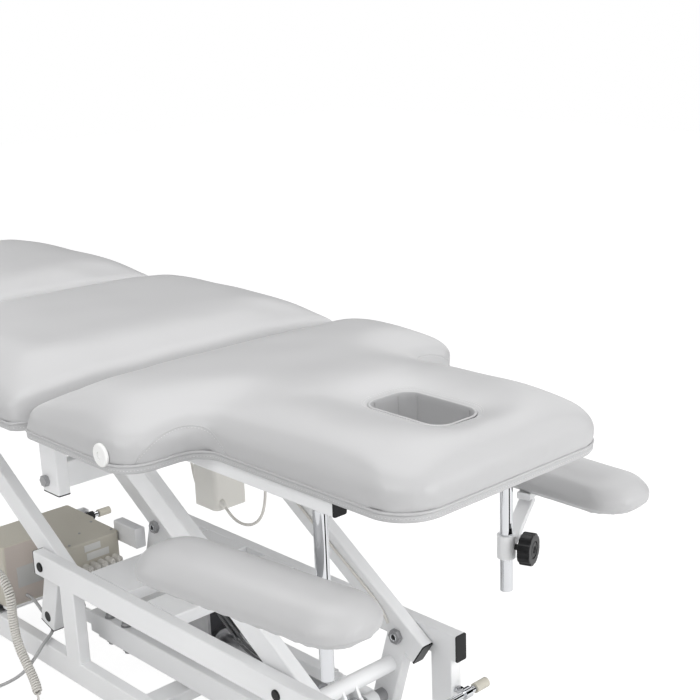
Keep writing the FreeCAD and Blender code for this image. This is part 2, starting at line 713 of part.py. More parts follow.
def ears(a, z1, r_hole, y0=EYE_W / 2 + DRIVE_GAP, x_to=None):
    # pair of plates with an eye at a, reaching up to z1 or across to x_to
    out = []
    for side in SIDES:
        lo, hi = sorted((side * y0, side * (y0 + EAR_T)))
        if x_to is None:
            web = solid_box(a[0] - EYE_R, a[0] + EYE_R, lo, hi, a[1], z1)
        else:
            web = solid_box(min(a[0], x_to), max(a[0], x_to), lo, hi, a[1] - EYE_R, a[1] + EYE_R)
        ear = web.fuse(cyl_y(a[0], a[1], lo, hi, max(EYE_R, r_hole + 5)))
        out.append(ear.cut(cyl_y(a[0], a[1], lo - 1, hi + 1, r_hole)))
    return out


def hinge_pair(x, d):
    # eyes on both sides of a section joint; d is +1 when the moving section lies towards the head end
    z = HINGE_Z
    fixed, moving, pins = [], [], []
    for side in SIDES:
        for y0, y1, s, out in ((HINGE_Y, HINGE_Y + 12, -1, fixed), (HINGE_Y + 12.6, HINGE_Y + 24, 1, moving)):
            lo, hi = sorted((side * y0, side * y1))
            tip = x + s * d * (HINGE_BACK + 1)
            web = solid_box(min(x, tip), max(x, tip), lo, hi, z - HINGE_R - 3, z + HINGE_R + 3)
            eye = web.fuse(cyl_y(x, z, lo, hi, HINGE_R + 3))
            hole = HINGE_R if s < 0 else HINGE_R + RUN
            out.append(eye.cut(cyl_y(x, z, lo - 1, hi + 1, hole)).removeSplitter())
        pin = cyl_y(x, z, side * HINGE_Y, side * (HINGE_Y + 25), HINGE_R)
        head = cyl_y(x, z, side * (HINGE_Y + 24.4), side * (HINGE_Y + 27), HINGE_R + 2)
        pins.append(pin.fuse(head).removeSplitter())
    return fixed, moving, pins


# padded sections


def head_plan(inset=0.0, lean=0.0):
    w, n = WIDE_HALF - inset, NARROW_HALF - inset
    x0, x1 = HEAD_HINGE_X + SECTION_GAP + inset + lean, TABLE_HALF_L - inset
    s = SHOULDER_X - inset
    return [(x0, -w, JOINT_R), (s, -w, SHOULDER_R_OUT), (s, -n, SHOULDER_R_IN), (x1, -n, HEAD_R),
            (x1, n, HEAD_R), (s, n, SHOULDER_R_IN), (s, w, SHOULDER_R_OUT), (x0, w, JOINT_R)]


def middle_plan(inset=0.0, lean=0.0):
    x0, x1 = LEG_HINGE_X + SECTION_GAP + inset + lean, HEAD_HINGE_X - SECTION_GAP - inset - lean
    return plain_plan(x0, x1, JOINT_R, JOINT_R, inset)


def leg_plan(inset=0.0, lean=0.0):
    x0, x1 = -TABLE_HALF_L + inset, LEG_HINGE_X - SECTION_GAP - inset - lean
    return plain_plan(x0, x1, HEAD_R, JOINT_R, inset)


def plain_plan(x0, x1, r0, r1, inset):
    w = WIDE_HALF - inset
    return [(x0, -w, r0), (x1, -w, r1), (x1, w, r1), (x0, w, r0)]


def hole_plan(grow=0.0):
    x0, x1 = HOLE_X - HOLE_L / 2 - grow, HOLE_X + HOLE_L / 2 + grow
    w = HOLE_W / 2 + grow
    return [(x0, -w, HOLE_R), (x1, -w, HOLE_R), (x1, w, HOLE_R), (x0, w, HOLE_R)]


def cushion(plan):
    # the joint faces lean back towards the top, so that sections can fold up
    foot = plan_face(plan(), BOARD_TOP).OuterWire
    top = plan_face(plan(lean=JOINT_LEAN), FOAM_TOP).OuterWire
    return soften(Part.makeLoft([foot, top], True, True), FOAM_TOP, FOAM_EDGE_R)


def head_cushion():
    return cushion(head_plan).cut(slab(hole_plan(), BOARD_TOP - 1, FOAM_TOP + 1))


def head_board():
    return slab(head_plan(BOARD_INSET), UPPER_TOP, BOARD_TOP).cut(slab(hole_plan(2.0), UPPER_TOP - 1, BOARD_TOP + 1))


def head_frame():
    zc = UPPER_Z + UPPER_H / 2
    yc = UPPER_OUT - TUBE_W / 2
    x0 = HEAD_HINGE_X + HINGE_BACK
    shapes = [along_x(x0, HEAD_RAIL_X1, side * yc, zc, TUBE_W, UPPER_H) for side in SIDES]
    inner = UPPER_OUT - TUBE_W + 1
    for x in (x0 + TUBE_W / 2, HEAD_B[0], HEAD_BAR_X):
        shapes.append(along_y(-inner, inner, x, zc, TUBE_W, UPPER_H))
    return fuse(shapes)


def leg_frame():
    zc = UPPER_Z + UPPER_H / 2
    yc = LEG_RAIL_OUT - TUBE_W / 2
    x1 = LEG_HINGE_X - HINGE_BACK
    shapes = [along_x(LEG_RAIL_X0, x1, side * yc, zc, TUBE_W, UPPER_H) for side in SIDES]
    inner = LEG_RAIL_OUT - TUBE_W + 1
    for x in (x1 - TUBE_W / 2, LEG_RAIL_X0 + TUBE_W / 2):
        shapes.append(along_y(-inner, inner, x, zc, TUBE_W, UPPER_H))
    return fuse(shapes)


def discs():
    out = []
    for side in SIDES:
        y = side * WIDE_HALF
        disc = dome_plug(DISC_X, DISC_Z, y, side, DISC_R, DISC_T)
        well = cyl_y(DISC_X, DISC_Z, y + side * (DISC_T - 1.5), y + side * DISC_T, SCREW_R + 1)
        screw = cyl_y(DISC_X, DISC_Z, y + side * (DISC_T - 1.5), y + side * (DISC_T - 0.5), SCREW_R)
        out.append((disc.cut(well), screw))
    return out


# drives


def eye_on(a, toward, r=ROD_R, reach=30.0):
    # rod eye at a with the start of its shank toward the other pin
    d = Vector(toward[0] - a[0], 0, toward[1] - a[1]).normalize()
    eye = cyl_y(a[0], a[1], -EYE_W / 2, EYE_W / 2, EYE_R)
    return eye.fuse(cyl(a[0], 0, a[1], d, r, reach))


def rod(a, b, length):
    # rod from pin a toward pin b; its cross pin stands out on both sides
    body = eye_on(a, b, ROD_R, length)
    pin = cyl_y(a[0], a[1], -EYE_W / 2 - DRIVE_GAP - EAR_T - 2, EYE_W / 2 + DRIVE_GAP + EAR_T + 2, PIN_R)
    return fuse([body, pin])


def sleeve_body(b, a, sleeve_end):
    # tube with an eye and cross pin at b, open toward a
    u = Vector(a[0] - b[0], 0, a[1] - b[1])
    length = u.Length
    u.normalize()
    start = Vector(b[0], 0, b[1])
    sleeve = Part.makeCylinder(SLEEVE_R, sleeve_end - 22, start + u * 22, u)
    tube = fuse([sleeve, eye_on(b, a, SLEEVE_R * 0.7, 24.0)])
    tube = tube.cut(Part.makeCylinder(ROD_R + FIT, length, start + u * 40, u))
    half = EYE_W / 2 + DRIVE_GAP + EAR_T
    return fuse([tube, cyl_y(b[0], b[1], -half, half, PIN_R)])


def head_motor():
    # upright housing under the sleeve, closed round it
    x1, z1 = HEAD_B[0] - HEAD_MOTOR_AT, HEAD_B[1] - HEAD_MOTOR_TOP
    shell = turned(bar(HEAD_MOTOR_TALL, MOTOR_W, MOTOR_L, 0, MOTOR_R), -90, x1 - MOTOR_L / 2, z1)
    axis = Vector(HEAD_A[0] - HEAD_B[0], 0, HEAD_A[1] - HEAD_B[1])
    return shell.cut(cyl(HEAD_B[0], 0, HEAD_B[1], axis, SLEEVE_R, axis.Length))


def lift_drive():
    z = PIVOT_Z - SLOT_DROP
    housing = turned(bar(LIFT_L, 2 * MOTOR_HALF, MOTOR_TALL, 0, MOTOR_R), 0, LIFT_X0, z + 14)
    x1 = LIFT_X0 + LIFT_L
    sleeve = cyl(x1, 0, z, Vector(1, 0, 0), SLEEVE_R, LIFT_SLEEVE)
    sleeve = sleeve.cut(cyl(x1 + 30, 0, z, Vector(1, 0, 0), ROD_R + FIT, LIFT_SLEEVE))
    ring = cyl(x1, 0, z, Vector(1, 0, 0), SLEEVE_R + 8, 12.0).cut(cyl(x1 - 1, 0, z, Vector(1, 0, 0), SLEEVE_R, 20.0))
    plates = []
    for side in SIDES:
        lo, hi = sorted((side * MOTOR_HALF, side * (MOTOR_HALF + EAR_T)))
        plates.append(solid_box(LIFT_X0 + 30, LIFT_X0 + LIFT_L + 20, lo, hi, z - 22, BEAM_TOP - TUBE_W))
    return housing, fuse([sleeve, ring]), plates


# armrests


def armrest(k):
    side = SIDES[k]
    y = side * (UPPER_OUT - TUBE_W / 2)
    px, py = POST_X - PAD_BACK, y + side * PAD_OUT[k]
    turn = PAD_TURN[k]
    z = COLLAR_Z
    post = cyl(POST_X, y, POST_Z0, Vector(0, 0, 1), POST_R, UPPER_Z - POST_Z0)
    post = post.cut(cyl(POST_X, y, POST_Z0 + POST_FLOOR, Vector(0, 0, 1), POST_R - TUBE_WALL, POST_DROP))
    out = math.atan2(py - y, px - POST_X)
    reach = math.hypot(px - POST_X, py - y)
    rise = PAD_Z - ARM_BAR_T - z
    run = math.hypot(rise - BRACE_FOOT, reach * BRACE_SHARE)
    slope = math.degrees(math.atan2(rise - BRACE_FOOT, reach * BRACE_SHARE))
    collar = cyl(POST_X, y, z - COLLAR_H / 2, Vector(0, 0, 1), COLLAR_R, COLLAR_H)
    brace = turned(bar(run, ARM_BAR_W, ARM_BAR_T, 0, ARM_BAR_R), slope, COLLAR_R - BRACE_FOOT, BRACE_FOOT / 2)
    flat = turned(bar(reach * FLAT_SHARE, ARM_BAR_W, ARM_BAR_T, 0, ARM_BAR_R), 0, reach / 2, rise + ARM_BAR_T / 2)
    arm = fuse([brace, flat])
    arm.rotate(Vector(0, 0, 0), Vector(0, 0, 1), math.degrees(out))
    arm.translate(Vector(POST_X, y, z))
    rest = fuse([collar, arm])
    a = math.radians(KNOB_TURN[k] * side)
    knob_dir = Vector(math.cos(a), math.sin(a), 0)
    hole = cyl(POST_X, y, z, knob_dir, SCREW_R + RUN, 40.0)
    rest = rest.cut(cyl(POST_X, y, POST_Z0, Vector(0, 0, 1), POST_R + RUN, POST_DROP)).cut(hole)
    pad = pad_shape(PAD_L, PAD_W, PAD_BOARD_T, PAD_T)
    board = pad_shape(PAD_L - 2 * PAD_EDGE, PAD_W - 2 * PAD_EDGE, 0, PAD_BOARD_T)
    for s in (pad, board):
        s.rotate(Vector(0, 0, 0), Vector(0, 0, 1), turn)
        s.translate(Vector(px, py, PAD_Z))
    knob = star_knob()
    knob.rotate(Vector(0, 0, 0), Vector(0, 0, 1), math.degrees(a))
    knob.translate(Vector(POST_X, y, z))
    return post, rest, board, pad, knob


def pad_shape(length, width, z0, z1):
    # stadium with flattened ends
    a, b, r = length / 2, width / 2, width * 0.46
    body = slab([(-a, -b, r), (a, -b, r), (a, b, r), (-a, b, r)], z0, z1)
    return soften(body, z1, min(16.0, (z1 - z0) * 0.7)) if z1 - z0 > 20 else body


def star_knob():
    # lobed grip with a dished face, on a screw; the screw's tip bears on the post
    along = Vector(1, 0, 0)
    face = KNOB_OUT + KNOB_T
    grip = cyl(KNOB_OUT, 0, 0, along, KNOB_R, KNOB_T)
    rim = [e for e in grip.Edges if e.BoundBox.XLength < 0.01 and e.BoundBox.YLength > KNOB_R]
    grip = grip.makeFillet(KNOB_EDGE_R, rim)
    for i in range(KNOB_LOBES):
        a = math.radians(360 / KNOB_LOBES * i)
        r = KNOB_R + LOBE_OUT
        grip = grip.cut(cyl(KNOB_OUT - 1, r * math.cos(a), r * math.sin(a), along, LOBE_R, KNOB_T + 2))
    grip = grip.cut(cyl(face - KNOB_DISH, 0, 0, along, KNOB_DISH_R, KNOB_DISH + 1))
    screw = cyl(POST_R + 0.4, 0, 0, along, SCREW_R, KNOB_OUT - POST_R + 6)
    return fuse([grip, screw])


# control box, rods and cords


def control_box():
    # cabinet across the base; the unit on its head side has the same lid height
    x0, x1, y0, y1 = BOX_X0, BOX_X1, BOX_Y0, BOX_Y1
    cabinet = slab([(x0, y0, BOX_R), (x1, y0, BOX_R), (x1, y1, BOX_R), (x0, y1, BOX_R)], BOX_Z0, BOX_Z1)
    back = x1 - 2 * UNIT_R
    unit = slab([(back, UNIT_Y0, BOX_R), (UNIT_X1, UNIT_Y0, UNIT_R), (UNIT_X1, UNIT_Y1, UNIT_R),
                 (back, UNIT_Y1, BOX_R)], UNIT_Z0, BOX_Z1)
    return soften(fuse([cabinet, unit]), BOX_Z1, LID_R)


def sockets():
    z = UNIT_Z0 + SOCKET_R + 3.0
    return group([cyl(UNIT_X1, SOCKET_Y0 + i * SOCKET_PITCH, z, Vector(1, 0, 0), SOCKET_R, SOCKET_L)
                  for i in range(SOCKET_N)])


def box_bracket():
    # folded strips that carry the cabinet on the floor rails
    out = []
    for x in (BOX_X0 + 15.0, BOX_X1 - 40.0):
        reach = BASE_HALF_W - 5.0
        leg = solid_box(x, x + SHELF_T, -reach, reach, RAIL_TOP, BOX_Z0)
        foot = solid_box(x, x + TUBE_W, -reach, reach, RAIL_TOP, RAIL_TOP + SHELF_T)
        top = solid_box(x, x + TUBE_W, BOX_Y0, BOX_Y1, BOX_Z0 - SHELF_T, BOX_Z0)
        out.append(fuse([leg, foot, top]))
    return group(out)


def unit_stub():
    # short capped tube that lies along the unit's far side
    x0 = UNIT_X1 - STUB_LAP
    z = BOX_Z1 - 4.0
    y = UNIT_Y1 + TUBE_W / 2
    return along_x(x0, x0 + STUB_L, y, z, TUBE_W, STUB_H), turned(end_cap(TUBE_W, STUB_H), 180, x0 + STUB_L, z, y)


def end_rods():
    rods, knobs, clips, screws = [], [], [], []
    for x, face in zip(ROD_X, ROD_FACE):
        rods.append(cyl_y(x, ROD_Z, -ROD_REACH, ROD_REACH, ROD_HOLD_R))
        for side in SIDES:
            knobs.append(cyl_y(x, ROD_Z, side * ROD_REACH, side * (ROD_REACH + ROD_KNOB_L), ROD_KNOB_R))
            y = side * (BASE_HALF_W - TUBE_W / 2)
            y0, y1 = y - CLIP_W / 2, y + CLIP_W / 2
            bore = cyl_y(x, ROD_Z, y0 - 1, y1 + 1, ROD_HOLD_R)
            ring = cyl_y(x, ROD_Z, y0, y1, ROD_HOLD_R + CLIP_T)
            lo, hi = face, x - ROD_HOLD_R
            tab = solid_box(lo, hi, y0, y1, ROD_Z - TAB_T / 2, ROD_Z + TAB_T / 2)
            clips.append(fuse([ring, tab]).cut(bore))
            screws.append(cyl(lo + 5.5, y, ROD_Z + TAB_T / 2, Vector(0, 0, 1), 3.5, 3.0))
    return rods, knobs, clips, screws


def rod_posts():
    # short posts on the floor rails for the rod at the foot end
    y = BASE_HALF_W - TUBE_W / 2
    top = ROD_Z + ROD_POST_UP
    return [upright(ROD_FACE[0] - TUBE_W / 2, s * y, RAIL_TOP, top, TUBE_W, TUBE_W) for s in SIDES]


def handset():
    x, y = HANDSET
    body = slab([(-80, -24, 12), (80, -30, 14), (80, 30, 14), (-80, 24, 12)], 0.5, 26.0)
    body = soften(body, 26.0, 5.0)
    spots = [(bx, by) for bx in (-30, 14) for by in (-12, 12)]
    caps = []
    for bx, by in spots:
        body = body.cut(cyl(bx, by, BUTTON_Z - BUTTON_TRAVEL - FIT, Vector(0, 0, 1), BUTTON_R + FIT, 10.0))
        cap = cyl(bx, by, BUTTON_Z, Vector(0, 0, 1), BUTTON_R, BUTTON_T)
        caps.append(cap)
    for s in [body] + caps:
        s.rotate(Vector(0, 0, 0), Vector(0, 0, 1), HANDSET_TURN)
        s.translate(Vector(x, y, 0))
    return body, caps


def mains_coil():
    # closed outer shape of the spare mains lead, wound flat
    return cyl(*COIL, 0.2, Vector(0, 0, 1), COIL_R, 2 * MAINS_R + 0.8)


def mains_plug():
    x, y = COIL[0], COIL[1] - COIL_R - 36
    body = Part.makeCone(9.0, 18.0, 34.0, Vector(x, y, 19.0), Vector(0, -1, 0))
    face = cyl(x, y - 34, 19.0, Vector(0, -1, 0), 18.0, 8.0)
    pins = [cyl(x + dx, y - 42, 19.0, Vector(0, -1, 0), 2.4, 19.0) for dx in (-9.5, 9.5)]
    return body.fuse(face), pins


# write every node

write("side_frames", group([side_frame(s) for s in SIDES]))
stub, stub_cap = unit_stub()
write("base_crossbars", group(list(base_bars().Solids) + rod_posts() + [stub]))
write("shelf_tray", shelf())
write("base_caps", group([base_caps(), pivot_plugs(), stub_cap]))
foot_pads, foot_stems = feet()
write("foot_pads", foot_pads)
write("pivot_bolts", pivot_bolts())
housing, sleeve, plates = lift_drive()
write("lift_motor", housing)
write("lift_sleeve", sleeve)
write("base_brackets", group(plates + [box_bracket()]))
write("control_box", control_box())
write("box_sockets", sockets())
rods, knobs, clips, screws = end_rods()
write("end_rods", group(rods))
write("end_rod_knobs", group(knobs))
write("end_rod_clips", group(clips))
write("base_screws", group(screws + [foot_stems]))

for name, x in (("front", PIVOT_FRONT_X), ("rear", PIVOT_REAR_X)):
    arms = [crank_arm(x, s) for s in SIDES]
    if name == "front":
        arms.append(drive_spreader(x))
    write(name + "_crank", group(arms))
    write(name + "_arm_caps", crank_caps(x))
    write(name + "_link_pins", link_pins(x))
write("link_tubes", group([link(s) for s in SIDES]))
write("link_clamps", group(link_clamps()))
lift_z = PIVOT_Z - SLOT_DROP
write("lift_rod", rod((PIVOT_FRONT_X, lift_z), (LIFT_X0, lift_z), LIFT_ROD))

front_plates, front_pins = hangers(PIVOT_FRONT_X)
rear_plates, rear_pins = hangers(PIVOT_REAR_X)
head_fixed, head_moving, head_pins = hinge_pair(HEAD_HINGE_X, 1)
leg_fixed, leg_moving, leg_pins = hinge_pair(LEG_HINGE_X, -1)
drop_ears = ears(HEAD_A, 0, OPEN_R, x_to=DROP_X0 + DROP_W)
leg_ears = ears(LEG_A, UPPER_Z, PIN_R + RUN)
welded = front_plates + rear_plates + head_fixed + leg_fixed + drop_ears + leg_ears
write("upper_frame", fuse([upper_frame()] + welded))
caps = []
bolts = []
for side in SIDES:
    y = side * (UPPER_OUT - TUBE_W / 2)
    caps.append(turned(end_cap(TUBE_W, DROP_W), 90, DROP_X0 + DROP_W / 2, DROP_Z, y))
    caps.append(turned(end_cap(TUBE_W, UPPER_H), 0, UPPER_X0, HINGE_Z, y))
    bolts.append(nut(DROP_X0 + 18, DROP_Z + 22, side * UPPER_OUT, side * (UPPER_OUT + 9), 19.0))
write("upper_caps", group(caps))
write("upper_pins", group(front_pins + rear_pins + head_pins + leg_pins + bolts))
write("middle_board", slab(middle_plan(BOARD_INSET), UPPER_TOP, BOARD_TOP))
write("middle_cushion", cushion(middle_plan))

head_ears = ears(HEAD_B, UPPER_Z, PIN_R + RUN)
write("head_frame", fuse([head_frame()] + head_moving + head_ears))
write("head_caps", group([turned(end_cap(TUBE_W, UPPER_H), 180, HEAD_RAIL_X1, HINGE_Z, s * (UPPER_OUT - TUBE_W / 2))
                          for s in SIDES]))
write("head_board", head_board())
write("head_cushion", head_cushion())
write("side_discs", group([s for pair in discs() for s in pair]))
leg_drop = ears(LEG_B, UPPER_Z, OPEN_R)
leg_arm = [solid_box(LEG_B[0] - EYE_R, LEG_HINGE_X - HINGE_BACK - TUBE_W, lo, lo + EAR_T,
                     UPPER_Z - EAR_T * 2, UPPER_Z + UPPER_H * 0.4)
           for lo in (EYE_W / 2 + DRIVE_GAP, -EYE_W / 2 - DRIVE_GAP - EAR_T)]
write("leg_frame", fuse([leg_frame()] + leg_moving + leg_drop + leg_arm))
write("leg_board", slab(leg_plan(BOARD_INSET), UPPER_TOP, BOARD_TOP))
write("leg_cushion", cushion(leg_plan))

write("head_sleeve", sleeve_body(HEAD_B, HEAD_A, HEAD_SLEEVE))
write("head_motor", head_motor())
write("head_rod", rod(HEAD_A, HEAD_B, HEAD_ROD))
write("leg_sleeve", sleeve_body(LEG_A, LEG_B, LEG_SLEEVE))
write("leg_rod", rod(LEG_B, LEG_A, LEG_ROD))

for k, name in enumerate(("near", "far")):
    post, rest, board, pad, knob = armrest(k)
    write("rest_post_" + name, post)
    write("rest_arm_" + name, rest)
    write("rest_pad_" + name, group([board, pad]))
    write("rest_knob_" + name, knob)

body, buttons = handset()
write("hand_control", body)
for i, b in enumerate(buttons):
    write("button_%d" % (i + 1), b)
write("hand_cord", cord_tube(HAND_CORD, HAND_CORD_R))
write("mains_lead", group([cord_tube(MAINS, MAINS_R), cord_tube(MAINS_TAIL, MAINS_R)]))
write("mains_coil", mains_coil())
plug, pins = mains_plug()
write("mains_plug", plug)
write("plug_pins", group(pins))
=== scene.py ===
import json
import math
import bmesh
import bpy
import numpy as np
from mathutils import Matrix, Vector
from mathutils.bvhtree import BVHTree


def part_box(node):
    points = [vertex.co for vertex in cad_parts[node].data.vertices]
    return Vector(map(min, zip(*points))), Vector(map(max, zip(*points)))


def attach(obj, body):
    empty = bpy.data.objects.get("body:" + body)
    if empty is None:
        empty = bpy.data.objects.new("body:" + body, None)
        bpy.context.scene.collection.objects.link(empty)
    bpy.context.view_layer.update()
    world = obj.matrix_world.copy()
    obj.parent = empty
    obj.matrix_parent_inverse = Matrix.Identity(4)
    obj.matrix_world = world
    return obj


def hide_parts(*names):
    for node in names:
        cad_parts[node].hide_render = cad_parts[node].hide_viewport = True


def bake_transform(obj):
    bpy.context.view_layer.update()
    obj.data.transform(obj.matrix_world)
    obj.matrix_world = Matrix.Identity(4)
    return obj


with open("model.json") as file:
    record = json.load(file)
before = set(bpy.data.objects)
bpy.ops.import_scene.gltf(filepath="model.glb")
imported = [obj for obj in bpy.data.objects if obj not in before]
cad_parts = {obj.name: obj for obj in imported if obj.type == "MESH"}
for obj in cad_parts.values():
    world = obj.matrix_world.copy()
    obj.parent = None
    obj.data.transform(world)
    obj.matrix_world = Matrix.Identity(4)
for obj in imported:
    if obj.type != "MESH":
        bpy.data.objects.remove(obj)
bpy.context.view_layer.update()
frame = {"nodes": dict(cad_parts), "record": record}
nodes = frame["nodes"]
scene = bpy.context.scene
scene.view_settings.view_transform = "Standard"

# camera, placed by fitting the photo's straight edges
camLook = dict(place=(2.1399, -1.3419, 1.3583), right=(0.72255, 0.69114, -0.01601),
               up=(-0.19059, 0.22142, 0.95637), forward=(-0.66453, 0.68797, -0.29171),
               lens=68.0, shiftX=-0.1294, shiftY=0.0483)


def makeCamera(look):
    # the matrix has the camera's right, up and backward directions as its columns
    data = bpy.data.cameras.new("camera")
    data.lens = look["lens"]
    data.sensor_width = 36.0
    data.shift_x = look["shiftX"]
    data.shift_y = look["shiftY"]
    data.clip_end = 40.0
    cam = bpy.data.objects.new("camera", data)
    scene.collection.objects.link(cam)
    r, u, f = (Vector(look[k]) for k in ("right", "up", "forward"))
    turn = Matrix((r, u, -f)).transposed().to_4x4()
    cam.matrix_world = Matrix.Translation(Vector(look["place"])) @ turn
    scene.camera = cam


makeCamera(camLook)
print("camera made")

# small tools


def linkMesh(name, verts, faces, smooth=True):
    # mesh object at the origin, from points and index lists
    mesh = bpy.data.meshes.new(name)
    mesh.from_pydata(np.asarray(verts, float).tolist(), [], [tuple(int(i) for i in f) for f in faces])
    mesh.validate()
    mesh.update()
    mesh.shade_smooth() if smooth else mesh.shade_flat()
    obj = bpy.data.objects.new(name, mesh)
    scene.collection.objects.link(obj)
    return obj


def gridFaces(rows, cols, wrapRows=False):
    # quads of a rows x cols grid of points, row by row; each row closes on itself
    i = np.arange(rows if wrapRows else rows - 1)
    j = np.arange(cols)
    a, b = np.meshgrid(i, j, indexing="ij")
    a2, b2 = (a + 1) % rows, (b + 1) % cols
    return np.stack([a * cols + b, a * cols + b2, a2 * cols + b2, a2 * cols + b], -1).reshape(-1, 4)


def sweep(points, radius, name, sides=10, closed=False):
    # round section carried along a line of points; its frame turns as little as it can
    p = np.asarray(points, float)
    n = len(p)
    t = np.roll(p, -1, 0) - np.roll(p, 1, 0) if closed else np.gradient(p, axis=0)
    t /= np.linalg.norm(t, axis=1)[:, None]
    up = np.zeros_like(p)
    v = np.cross(t[0], [0.0, 0.0, 1.0])
    v = v / np.linalg.norm(v) if np.linalg.norm(v) > 0.05 else np.array([1.0, 0.0, 0.0])
    for k in range(n):
        v = v - t[k] * (v @ t[k])
        v = v / np.linalg.norm(v)
        up[k] = v
    side = np.cross(t, up)
    a = np.linspace(0, 2 * np.pi, sides, endpoint=False)
    ring = p[:, None] + radius * (np.cos(a)[:, None] * up[:, None] + np.sin(a)[:, None] * side[:, None])
    faces = gridFaces(n, sides, wrapRows=closed).tolist()
    if not closed:
        faces += [list(range(sides))[::-1], list(range((n - 1) * sides, n * sides))]
    return linkMesh(name, ring.reshape(-1, 3), faces)


def roundedPlan(corners, step):
    # corners are (x, y, r) in metres; straight sides joined by arcs, sampled evenly along the line
    n = len(corners)
    pts = []
    for i in range(n):
        p = np.array(corners[i][:2])
        r = corners[i][2]
        u = np.array(corners[i - 1][:2]) - p
        v = np.array(corners[(i + 1) % n][:2]) - p
        u, v = u / np.linalg.norm(u), v / np.linalg.norm(v)
        half = math.acos(float(np.clip(u @ v, -1, 1))) / 2
        centre = p + (u + v) / np.linalg.norm(u + v) * r / math.sin(half)
        s, e = p + u * r / math.tan(half), p + v * r / math.tan(half)
        a0 = math.atan2(*(s - centre)[::-1])
        a1 = math.atan2(*(e - centre)[::-1])
        d = (a1 - a0 + math.pi) % (2 * math.pi) - math.pi
        a = a0 + d * np.linspace(0, 1, 25)
        pts.append(centre + r * np.stack([np.cos(a), np.sin(a)], -1))
    line = np.concatenate(pts)
    closed = np.vstack([line, line[:1]])
    length = np.concatenate([[0], np.cumsum(np.linalg.norm(np.diff(closed, axis=0), axis=1))])
    count = int(length[-1] / step)
    at = np.linspace(0, length[-1], count, endpoint=False)
    return np.stack([np.interp(at, length, closed[:, k]) for k in (0, 1)], -1)


def planDistance(xy, line):
    # distance from each point to a closed line in plan, and the nearest place along it
    a = line
    b = np.roll(line, -1, 0)
    ab = b - a
    out = np.empty(len(xy))
    near = np.empty((len(xy), 2))
    where = np.empty(len(xy))
    total = np.linalg.norm(ab, axis=1)
    run = np.concatenate([[0], np.cumsum(total)[:-1]])
    for s in range(0, len(xy), 4000):
        q = xy[s:s + 4000]
        t = np.clip(((q[:, None] - a) * ab).sum(-1) / (ab * ab).sum(-1), 0, 1)
        c = a + t[..., None] * ab
        d = np.linalg.norm(q[:, None] - c, axis=-1)
        k = d.argmin(1)
        i = np.arange(len(q))
        out[s:s + 4000] = d[i, k]
        near[s:s + 4000] = c[i, k]
        where[s:s + 4000] = run[k] + t[i, k] * total[k]
    return out, near, where


def ramp(x, a, b):
    # 0 below a, 1 above b, and a smooth step of three t squared less two t cubed between
    t = np.clip((x - a) / (b - a), 0, 1)
    return t * t * (3 - 2 * t)


def waves(p, seed, scale, count=24):
    # smooth random field, about -1 to 1: a sum of plane waves with mixed directions
    rng = np.random.default_rng(seed)
    d = rng.normal(size=(count, p.shape[1]))
    d /= np.linalg.norm(d, axis=1)[:, None]
    k = d * (2 * np.pi / scale) * rng.uniform(0.5, 1.8, (count, 1))
    return np.cos(p @ k.T + rng.uniform(0, 2 * np.pi, count)).sum(1) / math.sqrt(count) * 0.9


# materials


def newMaterial(name):
    # a material with its tree and its Principled node
    mat = bpy.data.materials.new(name)
    mat.use_nodes = True
    return mat, mat.node_tree, mat.node_tree.nodes["Principled BSDF"]


def groupOf(name, ins, outs):
    # an empty shader group with named inputs and outputs
    tree = bpy.data.node_groups.new(name, "ShaderNodeTree")
    for label, kind, value in ins:
        s = tree.interface.new_socket(label, in_out="INPUT", socket_type="NodeSocket" + kind)
        s.default_value = value
    for label, kind in outs:
        tree.interface.new_socket(label, in_out="OUTPUT", socket_type="NodeSocket" + kind)
    return tree, tree.nodes.new("NodeGroupInput"), tree.nodes.new("NodeGroupOutput")


def node(tree, kind, **values):
    # one shader node with some of its settings
    n = tree.nodes.new("ShaderNode" + kind)
    for k, v in values.items():
        setattr(n, k, v)
    return n


def makeGrain():
    # fine pebble relief with a slow tone change, in object space
    ins = [("Fine", "Float", 900.0), ("Depth", "Float", 0.1), ("Slow", "Float", 3.0)]
    tree, start, end = groupOf("surfaceGrain", ins, [("Normal", "Vector"), ("Tone", "Float")])
    place = node(tree, "TexCoord")
    fine = node(tree, "TexNoise")
    fine.inputs["Detail"].default_value = 3.0
    slow = node(tree, "TexNoise")
    slow.inputs["Detail"].default_value = 2.0
    bump = node(tree, "Bump")
    bump.inputs["Distance"].default_value = 0.0006
    link = tree.links.new
    link(place.outputs["Object"], fine.inputs["Vector"])
    link(place.outputs["Object"], slow.inputs["Vector"])
    link(start.outputs["Fine"], fine.inputs["Scale"])
    link(start.outputs["Slow"], slow.inputs["Scale"])
    link(start.outputs["Depth"], bump.inputs["Strength"])
    link(fine.outputs["Fac"], bump.inputs["Height"])
    link(bump.outputs["Normal"], end.inputs["Normal"])
    link(slow.outputs["Fac"], end.inputs["Tone"])
    return tree


grain = makeGrain()


